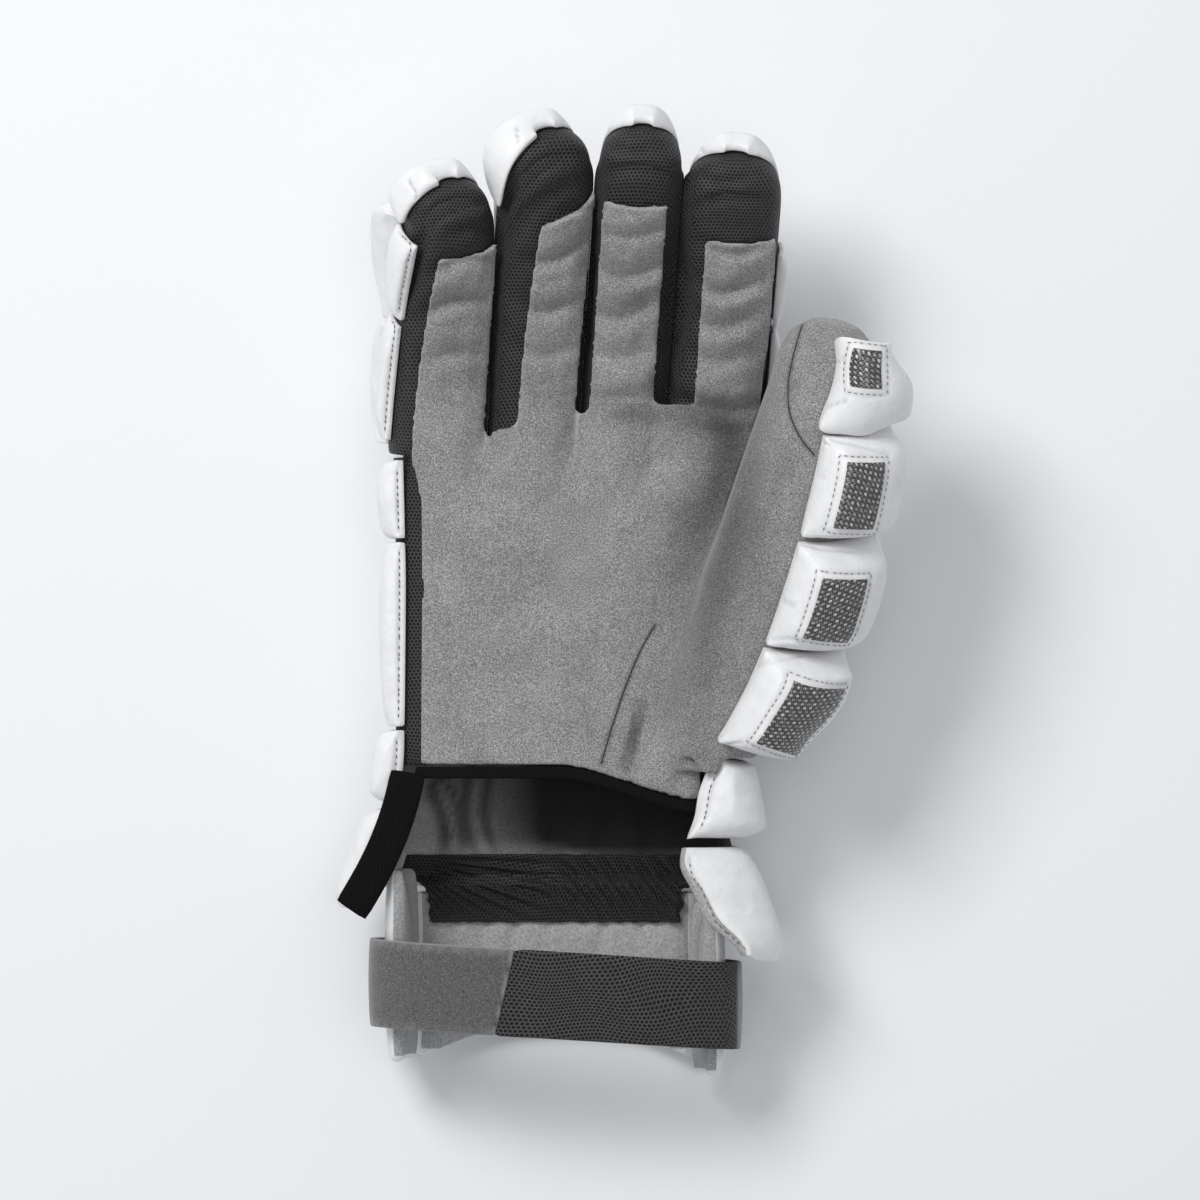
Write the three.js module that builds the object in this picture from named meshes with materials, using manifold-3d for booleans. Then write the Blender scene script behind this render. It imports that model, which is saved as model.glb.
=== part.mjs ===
// Lacrosse glove for the right hand, lying on its back pads with the palm up.
// Millimetres. X runs from the little finger to the thumb, Y from the wrist to the fingertips, Z up.
// Inside the model the hem of the palm lies at Y = 0 and the middle of the knuckles at X = 0.
import * as THREE from 'three';
import { mergeVertices } from 'three/addons/utils/BufferGeometryUtils.js';
import Module from 'manifold-3d';

// Driving sizes of the hand
const HAND_WIDTH = 128;
const HAND_DEPTH = 36;
const PALM_LENGTH = 105;
const FLARE_LENGTH = 54;
const BACK_PAD = 20;
const PALM_HOLLOW = 3;

// Driving sizes of the cloth
const WALL = 2;
const SUEDE = 2;
const GAP = 0.3;
const STRIP_GAP = 0.5;
const HEM_WIDTH = 4;
const HEM_RAISE = 1.2;
const HEM_DIP = 12;
const HEM_DIP_START = 0.5;

// Driving sizes of the fingers
const FINGER_LENGTH = 111;
const FINGER_WIDTH = HAND_WIDTH * 0.25;
const FINGER_DEPTH = 27;
const FINGER_CAP = 13;
const FINGER_PAD = 14;
const MIDDLE_PAD = 13;
const FINGER_PITCH = 4;
const TIP_PAD = 7;
const TIP_DEPTH = 0.9;
const TAPER_BEND = 1.5;
const SIDE_PAD = 5;

// Driving sizes of the thumb
const THUMB_LENGTH = 140;
const THUMB_SPREAD = 48;
const THUMB_LIFT = 28;
const THUMB_WIDTH = 43;
const THUMB_DEPTH = 36;
const THUMB_CAP = 14;
const THUMB_PAD = 16.5;
const THUMB_REAR_PAD = 12;
const INSERT_THICKNESS = 1;
const INSERT_BORDER = 0.2;
const THUMB_FOOT = 2.4;
const THUMB_ROOT = { x: 0.281, y: -0.019, z: 0.69 };
const THUMB_SEAM = 112.5;
const THUMB_SLIT = 0.45;
const THUMB_PAD_EDGE = 84;
const THUMB_REAR_EDGES = [-67.5, -2];
const THUMB_SKEW = 0.035;

// Driving sizes of the wrist cuff and its strap
const CUFF_START = 35;
const CUFF_LENGTH = 72;
const CUFF_WIDTH = HAND_WIDTH * 0.922;
const CUFF_DEPTH = 56;
const CUFF_PADDING = 9;
const CUFF_RISE = 16;
const CUFF_REST = 0.8;
const STRAP_WIDTH = 30;
const STRAP_THICKNESS = 2.2;
const STRAP_START = 59;
const STRAP_DROP = 7.5;
const STRAP_ENDS = { left: 205, joint: 98, right: -28 };
const STRAP_SLIT = 0.8;
const STRAP_LEAN = 5;
const WRIST_TUCK = 1;
const WRIST_EDGES = [216, 324];
const TAG_WIDTH = 12;
const TAG_LENGTH = 47;
const TAG_THICKNESS = 1.2;
const TAG_HEIGHT = BACK_PAD + HAND_DEPTH - 2;
const TAG_BEND = 1;
const TAG_LEAN = 0.52;
const TAG_TURN = { start: 0.3, bend: 0.5 };
const TAG_STEPS = 4;
const TAG_ROOT = { x: -0.455, y: -0.02 };

// Roundness of the cross sections: 2 is an ellipse, more is squarer
const HAND_SQUARENESS = 3;
const TUBE_SQUARENESS = 2.4;
const ROLL_SQUARENESS = 3.5;
const ROLL_SWELL = 0.95;
const PAD_EDGE = 0.4;
const CUFF_EDGE = 0.5;

// Loops round the hand. along: share of the palm length above the hem and of the flare length
// below it. width: share of the hand width. shift: centre, share of the hand width.
// back: height of the back, share of the back padding. depth: share of the hand depth.
const HAND_LOOPS = [
  { along: -1.00, width: 1.086, shift: -0.074, back: 0.65, depth: 1.28 },
  { along: -0.41, width: 0.914, shift: -0.066, back: 0.88, depth: 1.11 },
  { along: 0.00, width: 0.860, shift: -0.062, back: 1.00, depth: 1.00 },
  { along: 0.57, width: 0.930, shift: -0.024, back: 1.00, depth: 1.00 },
  { along: 1.00, width: 0.990, shift: -0.004, back: 1.00, depth: 1.00 },
];

// Fingers. x: root, share of the hand width. width: share of the finger width. reach: share of
// the finger length. yaw, roll and curl: degrees, roll and curl at the tip. strip: angles of the
// suede strip. end: share of the reach where the strip ends, slant: how much its end leans.
// web: share of the reach where the suede parts from the next finger. taper: width at the tip,
// share of the root's. tipAt: share of the reach where the tip's roll begins, tipFrom: its first angle.
const FINGERS = [
  { name: 'pinky', x: -0.385, width: 1.06, taper: 0.89, reach: 0.820, yaw: 3.4, roll: 25, curl: 42,
    strip: [112.5, 90, 67.5, 45, 33.75], end: 0.90, slant: 0, web: 0.12, tipAt: 0.99, tipFrom: 180 },
  { name: 'ring', x: -0.129, width: 0.95, taper: 1.05, reach: 0.985, yaw: 3.0, roll: 28, curl: 42,
    strip: [106, 90, 67.5, 45, 38], end: 0.89, slant: 0.04, web: 0.16, tipAt: 0.88, tipFrom: 170 },
  { name: 'middle', x: 0.109, width: 0.89, taper: 1.02, reach: 1.000, yaw: 3.8, roll: 2, curl: 42,
    strip: [135, 112.5, 90, 67.5, 56.25], end: 0.91, slant: 0, web: 0.20, tipAt: 0.88, tipFrom: 202.5 },
  { name: 'index', x: 0.356, width: 1.04, taper: 1.02, reach: 0.900, yaw: 4.0, roll: 0, curl: 40,
    strip: [112.5, 90, 67.5, 45, 33.75], end: 0.86, slant: 0, web: 0, tipAt: 0.88, tipFrom: 202.5 },
];

const ROLL_START = 0.03;
const ROLL_SEAM = 0.48;
const ROLL_TIP = 1.85;
const ROLL_SLIT = 0.02;

// Axis of the thumb. x, y, z: shares of its spread, length and lift. width, depth: shares of
// the thumb width and depth.
const THUMB_AXIS = [
  { x: 0.00, y: 0.000, z: 0.00, width: 0.66, depth: 0.82 },
  { x: 0.33, y: 0.200, z: 0.20, width: 1.02, depth: 0.98 },
  { x: 0.59, y: 0.435, z: 0.45, width: 1.11, depth: 1.00 },
  { x: 0.80, y: 0.688, z: 0.78, width: 1.04, depth: 0.95 },
  { x: 1.00, y: 1.000, z: 1.00, width: 0.79, depth: 0.84 },
];

// Rolls along the thumb. from, to: shares of its length. pad: share of the thumb padding.
// insertFrom, insertTo: angles of the woven insert. rear: whether a second roll lies behind it.
const THUMB_ROLLS = [
  { from: 0.895, to: 1.32, pad: 0.97, insertFrom: 54, insertTo: 73, rear: false },
  { from: 0.68, to: 0.87, pad: 1, insertFrom: 48, insertTo: 71, rear: true },
  { from: 0.41, to: 0.665, pad: 1, insertFrom: 43, insertTo: 70, rear: true },
  { from: 0.14, to: 0.40, pad: 1.09, insertFrom: 30, insertTo: 68, rear: true },
];

// Pads on the sides of the fingers. finger: row in the table of fingers. from, to: angles.
// foot, top: shares of the reach. pad: share of the side padding.
const FINGER_SIDE_PADS = [
  { name: 'pinky_side_tip', finger: 0, from: 145, to: 200, foot: 0.57, top: 0.95, pad: 1 },
  { name: 'pinky_side_base', finger: 0, from: 150, to: 200, foot: 0.06, top: 0.54, pad: 1 },
  { name: 'index_side_base', finger: 3, from: -20, to: 14, foot: 0.10, top: 0.46, pad: 0.8 },
  { name: 'index_side_middle', finger: 3, from: -20, to: 14, foot: 0.48, top: 0.76, pad: 0.8 },
];

// Angles round the hand of the palm's edges, and of the strip of mesh by the little finger: its
// hidden edge, the end of its tuck under the palm, the edge of its pads and its seam at the back.
// The pads of the back lie between the last two edges of the hand, and a finger's rolls past theirs.
const PALM_LEFT = 142.5;
const PALM_RIGHT = 34;
const SIDE_EDGE = 138;
const SIDE_TUCK = 147;
const SIDE_PADS = 153;
const SIDE_SEAM = 195;
const BACK_EDGE = SIDE_SEAM + 7.5;
const BACK_END = 337.5;
const ROLL_EDGE = 202.5;

// Pads on the hand and the flare. from, to: angles. top, foot: shares along the hand. pad: share of
// the back padding. spread: how much of it swells sideways. low: gap to the wall under it. The pads
// thicker than the back padding are flat where they meet the floor.
const HAND_PADS = [
  { name: 'hand_side_upper', from: SIDE_PADS + 1, to: SIDE_SEAM, top: 0.990, foot: 0.735, pad: 0.325 },
  { name: 'hand_side_lower', from: SIDE_PADS + 1, to: SIDE_SEAM, top: 0.725, foot: 0.125, pad: 0.3 },
  { name: 'wrist_side', from: SIDE_PADS + 1, to: SIDE_SEAM, top: 0.115, foot: -0.23, pad: 0.4 },
  { name: 'flare_pinky', from: 150, to: BACK_EDGE, top: -0.27, foot: -0.91, pad: 0.45 },
  { name: 'knuckle_pinky', from: BACK_EDGE, to: 248.5, top: 0.98, foot: 0.735, pad: 1.2, spread: 0.2 },
  { name: 'knuckle_ring', from: 249.5, to: 269.5, top: 0.98, foot: 0.735, pad: 1.2, spread: 0 },
  { name: 'knuckle_middle', from: 270.5, to: 288.5, top: 0.98, foot: 0.735, pad: 1.2, spread: 0 },
  { name: 'knuckle_index', from: 289.5, to: BACK_END, top: 0.98, foot: 0.735, pad: 1.2, spread: 0.2 },
  { name: 'hand_back_1', from: BACK_EDGE, to: 245.5, top: 0.715, foot: 0.115, pad: 1.2, spread: 0.2 },
  { name: 'hand_back_2', from: 246.5, to: 293.5, top: 0.715, foot: 0.115, pad: 1.2, spread: 0 },
  { name: 'hand_back_3', from: 294.5, to: BACK_END - 2.5, top: 0.715, foot: 0.115, pad: 1.2, spread: 0.2 },
  { name: 'wrist_back', from: BACK_EDGE + 2.5, to: BACK_END - 2.5, top: 0.09, foot: -0.25, pad: 0.8,
    spread: 0.3 },
  { name: 'flare_back', from: BACK_EDGE + 4.5, to: BACK_END - 4.5, top: -0.30, foot: -0.78, pad: 0.55,
    spread: 0.5 },
  { name: 'wrist_thumb', from: -18, to: 44, top: 0.02, foot: -0.48, pad: 0.7, low: HEM_RAISE + 0.4 },
  { name: 'flare_thumb', from: -22, to: 52, top: -0.51, foot: -1.24, pad: 0.4 },
];

// Pieces of the floating cuff. from, to: angles. top, foot: shares of the cuff's length.
// corner: how much further its lower edge reaches at the sides than in the middle.
const CUFF_PADS = [
  { name: 'cuff_wing_pinky', from: 165, to: 212, top: 0.00, foot: 0.87, corner: 0.06 },
  { name: 'cuff_back', from: 216, to: 324, top: 0.11, foot: 0.80, corner: 0.18 },
  { name: 'cuff_wing_thumb', from: 328, to: 375, top: 0.15, foot: 0.93, corner: 0.07 },
];

// Rows of the gathered mesh. along: share of the flare length, cuff: how far it has passed from
// the lining to the cuff.
const WRIST_ROWS = [
  { along: -0.57, cuff: 0 },
  { along: -0.70, cuff: 0 },
  { along: -0.765, cuff: 0.9 },
  { along: -0.86, cuff: 1 },
  { along: -1.0, cuff: 1 },
];

// Grid lines. Stops are angles in degrees, rows are shares along a piece, and what lies on another
// piece uses the stops and rows of the piece under it, so that the gap between them stays even.
const FULL_TURN = 360;
const FINGER_STEP = 22.5;
const SEAM_WIDTH = 0.6;
const HAND_QUARTER = [0, 7.5, 20, 45, 70, 82.5];
const SOCK_ROWS = [0, 0.16, 0.32, 0.48, 0.68, 0.87, 1];
const STRIP_ROWS = [0, 0.06, 0.12, 0.16, 0.20, 0.32, 0.48, 0.68];
const PALM_ROWS = [0, 0.143, 0.286, 0.43, 0.57, 0.71, 0.86];
const SIDE_ROWS = [0, 0.3, 0.57, 0.8, 0.97];
const LINER_ROWS = [-0.72, -0.41, 0, 0.3, 0.57, 0.8, 0.985];
const DOME_ROWS = [1.33, 1.67, 2];
const EDGE_INSET = 0.12;
const EDGE_MARGIN = 0.03;
const LINE_SPACING = 0.07;
const THUMB_ROWS = [0, 0.1, 0.2, 0.3, 0.4, 0.5, 0.6, 0.7, 0.8, 0.9, 1];
const SIDE_NOTCH = { row: 0.8, angle: 150 };
const LINER_EDGE = 380;
const LINER_NOTCH = { row: 0.8, angle: 367 };

const wasm = await Module();
wasm.setup();

const radians = THREE.MathUtils.degToRad;
const mix = THREE.MathUtils.lerp;
const smooth = THREE.MathUtils.smoothstep;
const signedPower = (value, power) => Math.sign(value) * Math.abs(value) ** power;

// One closed body from triangles: shared corners are merged and faces turned outwards.
function body(points, triangles) {
  const soup = new THREE.BufferGeometry();
  soup.setAttribute('position', new THREE.Float32BufferAttribute(points.flatMap((p) => p.toArray()), 3));
  soup.setIndex(triangles);
  const welded = mergeVertices(soup, 1e-3);
  const position = welded.getAttribute('position');
  const corner = (index) => new THREE.Vector3().fromBufferAttribute(position, index);
  const kept = [];
  let volume = 0;
  const index = welded.getIndex().array;
  for (let t = 0; t < index.length; t += 3) {
    const [a, b, c] = [index[t], index[t + 1], index[t + 2]];
    if (a === b || b === c || c === a) continue;
    kept.push([a, b, c]);
    volume += corner(a).dot(corner(b).cross(corner(c)));
  }
  welded.setIndex(kept.flatMap(([a, b, c]) => (volume > 0 ? [a, b, c] : [a, c, b])));
  return welded;
}

// A closed wall over a grid of cells: outer skin, inner skin, and rims round every open edge.
function closedWall({ columns, rows, outer, inner, filled = () => true, loops = false }) {
  const lines = loops ? columns : columns + 1;
  const points = [];
  for (const skin of [outer, inner]) {
    for (let j = 0; j <= rows; j++) {
      for (let i = 0; i < lines; i++) points.push(skin(i, j));
    }
  }
  const side = lines * (rows + 1);
  const at = (i, j) => j * lines + (i % lines);
  const open = (i, j) => {
    const column = loops ? (i + columns) % columns : i;
    return j < 0 || j >= rows || column < 0 || column >= columns || !filled(column, j);
  };
  const triangles = [];
  const rim = (a, b) => triangles.push(b, a, a + side, b, a + side, b + side);
  for (let j = 0; j < rows; j++) {
    for (let i = 0; i < columns; i++) {
      if (!filled(i, j)) continue;
      const [a, b, c, d] = [at(i, j), at(i + 1, j), at(i + 1, j + 1), at(i, j + 1)];
      triangles.push(a, b, c, a, c, d);
      triangles.push(c + side, b + side, a + side, d + side, c + side, a + side);
      if (open(i, j - 1)) rim(a, b);
      if (open(i + 1, j)) rim(b, c);
      if (open(i, j + 1)) rim(c, d);
      if (open(i - 1, j)) rim(d, a);
    }
  }
  return body(points, triangles);
}

// A solid body inside one skin of loops, closed by a point at each end.
function closedSkin(columns, rows, skin) {
  const points = [];
  for (let j = 0; j <= rows; j++) {
    for (let i = 0; i < columns; i++) points.push(skin(i, j));
  }
  for (const j of [0, rows]) {
    const centre = new THREE.Vector3();
    for (let i = 0; i < columns; i++) centre.add(skin(i, j));
    points.push(centre.divideScalar(columns));
  }
  const base = columns * (rows + 1);
  const triangles = [];
  for (let i = 0; i < columns; i++) {
    const next = (i + 1) % columns;
    for (let j = 0; j < rows; j++) {
      const [a, b] = [j * columns + i, j * columns + next];
      triangles.push(a, b, b + columns, a, b + columns, a + columns);
    }
    triangles.push(base, next, i, base + 1, rows * columns + i, rows * columns + next);
  }
  return body(points, triangles);
}

// A mesh as a solid that can be cut.
function toSolid(geometry) {
  return new wasm.Manifold(new wasm.Mesh({
    numProp: 3,
    vertProperties: new Float32Array(geometry.getAttribute('position').array),
    triVerts: new Uint32Array(geometry.getIndex().array),
  }));
}

// The largest body that is left of a wall when tools are cut from it.
function cutFrom(geometry, tools) {
  let solid = toSolid(geometry);
  for (const tool of tools) solid = solid.subtract(tool);
  const largest = solid.decompose().reduce((a, b) => (a.volume() > b.volume() ? a : b));
  const mesh = largest.getMesh();
  const points = [];
  for (let v = 0; v < mesh.vertProperties.length; v += mesh.numProp) {
    points.push(new THREE.Vector3(...mesh.vertProperties.slice(v, v + 3)));
  }
  return body(points, [...mesh.triVerts]);
}

// Point of a tube: angle 0 is its side, 90 its front; v 0..1 along it and 1..2 round its tip. It
// lies out from the tube's surface, and sideOut from its flanks.
function onTube(tube, angle, v, out, squareness = TUBE_SQUARENESS, sideOut = out) {
  const along = Math.min(v, 1);
  const dome = (Math.max(v, 1) - 1) * Math.PI / 2;
  const frame = tube.frame(along);
  const [width, depth] = tube.half(along);
  const turn = radians(angle);
  const sideways = (width + sideOut) * signedPower(Math.cos(turn), 2 / squareness);
  const forwards = (depth + out) * signedPower(Math.sin(turn), 2 / squareness);
  return frame.centre.clone()
    .addScaledVector(frame.along, (tube.cap + out) * Math.sin(dome))
    .addScaledVector(frame.side, sideways * Math.cos(dome))
    .addScaledVector(frame.front, forwards * Math.cos(dome));
}

// A finger's tube: its axis starts at the knuckles and curls up by an even bend.
function fingerTube(finger) {
  const length = finger.reach * FINGER_LENGTH;
  const start = radians(FINGER_PITCH);
  const turn = radians(finger.curl) - start;
  const yaw = radians(finger.yaw);
  const across = new THREE.Vector3(Math.cos(yaw), -Math.sin(yaw), 0);
  const root = new THREE.Vector3(finger.x * HAND_WIDTH, PALM_LENGTH, BACK_PAD + WALL + FINGER_DEPTH / 2);
  return {
    cap: FINGER_CAP,
    half: (v) => {
      const width = finger.width * FINGER_WIDTH * mix(1, finger.taper, v ** TAPER_BEND);
      return [width / 2, FINGER_DEPTH * mix(1, TIP_DEPTH, v) / 2];
    },
    frame: (v) => {
      const pitch = start + turn * v;
      const forward = length * (Math.sin(pitch) - Math.sin(start)) / turn;
      const rise = length * (Math.cos(start) - Math.cos(pitch)) / turn;
      const along = new THREE.Vector3(
        Math.cos(pitch) * Math.sin(yaw), Math.cos(pitch) * Math.cos(yaw), Math.sin(pitch));
      const up = across.clone().cross(along);
      const roll = radians(finger.roll * v ** 2);
      return {
        centre: root.clone().add(new THREE.Vector3(
          forward * Math.sin(yaw), forward * Math.cos(yaw), rise)),
        along,
        side: across.clone().multiplyScalar(Math.cos(roll)).addScaledVector(up, -Math.sin(roll)),
        front: up.clone().multiplyScalar(Math.cos(roll)).addScaledVector(across, Math.sin(roll)),
      };
    },
  };
}

// The thumb's tube: a smooth curve from inside the hand, out and up.
function thumbTube() {
  const root = new THREE.Vector3(
    HAND_WIDTH * THUMB_ROOT.x, PALM_LENGTH * THUMB_ROOT.y, BACK_PAD + HAND_DEPTH * THUMB_ROOT.z);
  const axis = new THREE.CatmullRomCurve3(THUMB_AXIS.map((row) => new THREE.Vector3(
    row.x * THUMB_SPREAD, row.y * THUMB_LENGTH, row.z * THUMB_LIFT).add(root)));
  const column = (name, v) => {
    const place = v * (THUMB_AXIS.length - 1);
    const from = Math.min(Math.floor(place), THUMB_AXIS.length - 2);
    return mix(THUMB_AXIS[from][name], THUMB_AXIS[from + 1][name], place - from);
  };
  return {
    cap: THUMB_CAP,
    half: (v) => [column('width', v) * THUMB_WIDTH / 2, column('depth', v) * THUMB_DEPTH / 2],
    frame: (v) => {
      const along = axis.getTangent(v);
      const front = new THREE.Vector3(0, 0, 1).projectOnPlane(along).normalize();
      return { centre: axis.getPoint(v), along, side: along.clone().cross(front), front };
    },
  };
}

// Y of a share along the hand: of the palm above the hem, of the flare below it.
function alongHand(share) {
  return share * (share < 0 ? FLARE_LENGTH : PALM_LENGTH);
}

// The hand's loop at a height: its centre, half width and half depth.
function handLoop(y) {
  const shares = HAND_LOOPS.map((row) => alongHand(row.along));
  let low = 0;
  while (low < shares.length - 2 && y > shares[low + 1]) low++;
  const part = (y - shares[low]) / (shares[low + 1] - shares[low]);
  const value = (name) => mix(HAND_LOOPS[low][name], HAND_LOOPS[low + 1][name], part);
  const depth = value('depth') * HAND_DEPTH / 2;
  return {
    x: value('shift') * HAND_WIDTH,
    z: value('back') * BACK_PAD + GAP + depth,
    width: value('width') * HAND_WIDTH / 2,
    depth,
  };
}

// Point on the hand: angle 0 is the thumb side, 90 the palm, 180 the little finger, 270 the back.
// It lies out from the hand's surface, and sideOut from its flanks.
function onHand(angle, y, out, sideOut = out) {
  const loop = handLoop(y);
  const turn = radians(angle);
  return new THREE.Vector3(
    loop.x + (loop.width + sideOut) * signedPower(Math.cos(turn), 2 / HAND_SQUARENESS),
    y,
    loop.z + (loop.depth + out) * signedPower(Math.sin(turn), 2 / HAND_SQUARENESS));
}

// How far the hem dips below the palm's lower edge: nothing by the little finger, most by the thumb.
function hemDip(u) {
  return -HEM_DIP * smooth(u, HEM_DIP_START, 1);
}

// Point on the palm: u runs from its little-finger edge to its thumb edge.
function onPalm(u, y, out) {
  const loop = handLoop(y);
  const left = onHand(PALM_LEFT, y, out).x;
  const right = onHand(PALM_RIGHT, y, out).x;
  const x = mix(left, right, u);
  const across = Math.abs((x - loop.x) / (loop.width + out));
  const rise = (1 - across ** HAND_SQUARENESS) ** (1 / HAND_SQUARENESS);
  const hollow = PALM_HOLLOW * Math.sin(Math.PI * u) * smooth(y, 0, PALM_LENGTH / 2);
  return new THREE.Vector3(x, y, loop.z + (loop.depth + out) * rise - hollow);
}

// Lines of a padded piece from one edge to the other: the stops between them, and one near each edge.
function gridLines(from, to, stops, inset = EDGE_INSET) {
  const span = to - from;
  const margin = span * EDGE_MARGIN;
  const lines = [from, to, ...stops.filter((stop) => stop > from + margin && stop < to - margin)];
  for (const line of [from + span * inset, to - span * inset]) {
    if (inset && lines.every((other) => Math.abs(other - line) > span * LINE_SPACING)) lines.push(line);
  }
  return lines.sort((a, b) => a - b);
}

const fingerStops = Array.from({ length: 33 }, (_, k) => (k - 12) * FINGER_STEP);
const handStops = [-90, 0, 90, 180, 270, 360].flatMap(
  (start) => HAND_QUARTER.map((angle) => start + angle));
const crown = (t) => Math.sqrt(Math.max(0, 1 - t ** 4));

// How full a padded piece is at a place on it: 1 in the middle, falling to edge at its outline.
function fullness({ across, along, edge = PAD_EDGE }, angle, v) {
  const a = 2 * (angle - across[0]) / (across[1] - across[0]) - 1;
  const b = 2 * (v - along[0]) / (along[1] - along[0]) - 1;
  return edge + (1 - edge) * crown(a) * crown(b);
}

// A padded piece on a surface. Its inner skin lies at low and its outer one at high; with both it
// swells both ways. stops and rows are the grid lines of what lies under it. shape places the
// outer skin, skew shifts a place along the surface, and floor is the lowest height it reaches.
function paddedPiece(pad) {
  const { across, along, stops, rows, low, high, surface, both = false, floor = -Infinity } = pad;
  const { shape = surface, skew = () => 0 } = pad;
  const lines = gridLines(across[0], across[1], stops);
  const steps = gridLines(along[0], along[1], rows);
  const middle = both ? (low + high) / 2 : low;
  return closedWall({
    columns: lines.length - 1,
    rows: steps.length - 1,
    outer: (i, j) => {
      const [angle, v] = [lines[i], steps[j]];
      const point = shape(angle, v + skew(angle, v), mix(middle, high, fullness(pad, angle, v)));
      point.z = Math.max(point.z, floor);
      return point;
    },
    inner: (i, j) => {
      const [angle, v] = [lines[i], steps[j]];
      return surface(angle, v + skew(angle, v), mix(middle, low, both ? fullness(pad, angle, v) : 1));
    },
  });
}

const glove = new THREE.Group();
const FINISH = {
  suede: { color: 0x8c8c8c, roughness: 0.95 },
  mesh: { color: 0x1d1d1d, roughness: 0.9 },
  leather: { color: 0xf2f2f2, roughness: 0.5 },
  lining: { color: 0xa6a6a6, roughness: 0.9 },
  webbing: { color: 0x6e6e6e, roughness: 0.9 },
  weave: { color: 0x5a5a5a, roughness: 0.5 },
};

function piece(name, finish, geometry) {
  const material = new THREE.MeshStandardMaterial({ ...FINISH[finish], metalness: 0 });
  const mesh = new THREE.Mesh(geometry, material);
  mesh.name = name;
  glove.add(mesh);
}

const tubes = FINGERS.map(fingerTube);
const thumb = thumbTube();

// Mesh socks of the fingers
FINGERS.forEach((finger, index) => {
  const rows = [...SOCK_ROWS, ...DOME_ROWS];
  const skin = (out) => (i, j) => onTube(tubes[index], i * FINGER_STEP, rows[j], out);
  piece(`mesh_${finger.name}`, 'mesh', closedWall({
    columns: FULL_TURN / FINGER_STEP,
    rows: rows.length - 1,
    outer: skin(0),
    inner: skin(-WALL),
    loops: true,
  }));
});

// The palm with its four finger strips: a grid with the webs between the strips left out
const STRIP_LINES = FINGERS[0].strip.length;
const palmColumns = FINGERS.length * STRIP_LINES - 1;
const palmRows = PALM_ROWS.length + STRIP_ROWS.length;

// Share across the palm of a grid line, from where its finger strip is rooted.
function palmShare(line) {
  const rootX = (at) => {
    const index = Math.floor(at / STRIP_LINES);
    return onTube(tubes[index], FINGERS[index].strip[at % STRIP_LINES], 0, STRIP_GAP).x;
  };
  return (rootX(line) - rootX(0)) / (rootX(palmColumns) - rootX(0));
}

function palmVertex(i, j, out) {
  if (j < PALM_ROWS.length) {
    const u = palmShare(i);
    const share = PALM_ROWS[j];
    return onPalm(u, alongHand(share) + hemDip(u) * (1 - share) ** 2, out);
  }
  const index = Math.floor(i / STRIP_LINES);
  const finger = FINGERS[index];
  const step = j - PALM_ROWS.length;
  const lean = (i % STRIP_LINES) / (STRIP_LINES - 1) * 2 - 1;
  const v = step < STRIP_ROWS.length ? STRIP_ROWS[step] : finger.end + finger.slant * lean;
  return onTube(tubes[index], finger.strip[i % STRIP_LINES], v, STRIP_GAP + SUEDE + out);
}

const palmWall = closedWall({
  columns: palmColumns,
  rows: palmRows,
  outer: (i, j) => palmVertex(i, j, 0),
  inner: (i, j) => palmVertex(i, j, -SUEDE),
  filled: (i, j) => {
    if (i % STRIP_LINES !== STRIP_LINES - 1 || j < PALM_ROWS.length) return true;
    const step = j - PALM_ROWS.length;
    return step + 1 < STRIP_ROWS.length && STRIP_ROWS[step + 1] <= FINGERS[Math.floor(i / STRIP_LINES)].web;
  },
});

// The thumb's suede in two panels, seamed down its front and its back. It opens into the hand, and
// the palm and lining keep clear of it.
const thumbRows = [...THUMB_ROWS, ...DOME_ROWS];
const thumbSkin = (angles, out) => (i, j) => onTube(thumb, angles[i], thumbRows[j], out);
function thumbWall(from, to) {
  const angles = gridLines(from + THUMB_SLIT, to - THUMB_SLIT, fingerStops, 0);
  return closedWall({
    columns: angles.length - 1,
    rows: thumbRows.length - 1,
    outer: thumbSkin(angles, 0),
    inner: thumbSkin(angles, -SUEDE),
  });
}
const thumbLoop = fingerStops.filter((angle) => angle >= 0 && angle < FULL_TURN);
const handLoopStops = handStops.filter((angle) => angle >= 0 && angle < 360);
const handSkin = (rows, out) => closedSkin(handLoopStops.length, rows.length - 1,
  (i, j) => onHand(handLoopStops[i], rows[j], out));
const handRoom = toSolid(handSkin(LINER_ROWS.map(alongHand), -WALL));
const wristRoom = toSolid(handSkin([-FLARE_LENGTH, THUMB_FOOT], THUMB_WIDTH));
const thumbRoom = toSolid(closedSkin(thumbLoop.length, thumbRows.length - 1, thumbSkin(thumbLoop, GAP)))
  .subtract(wristRoom);
piece('palm', 'suede', cutFrom(palmWall, [thumbRoom]));
const THUMB_PANELS = [
  { name: 'thumb_panel', from: THUMB_SEAM, to: THUMB_SEAM + FULL_TURN / 2 },
  { name: 'thumb_side', from: THUMB_SEAM - FULL_TURN / 2, to: THUMB_SEAM },
];
for (const panel of THUMB_PANELS) {
  piece(panel.name, 'suede', cutFrom(thumbWall(panel.from, panel.to), [handRoom, wristRoom]));
}

// Binding along the hem of the palm
const hemVertex = (i, j, out) => {
  const u = palmShare(i);
  return onPalm(u, hemDip(u) - GAP - HEM_WIDTH * (1 - j), out);
};
piece('palm_hem', 'mesh', closedWall({
  columns: palmColumns,
  rows: 1,
  outer: (i, j) => hemVertex(i, j, HEM_RAISE),
  inner: (i, j) => hemVertex(i, j, -SUEDE - HEM_RAISE),
}));

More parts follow.
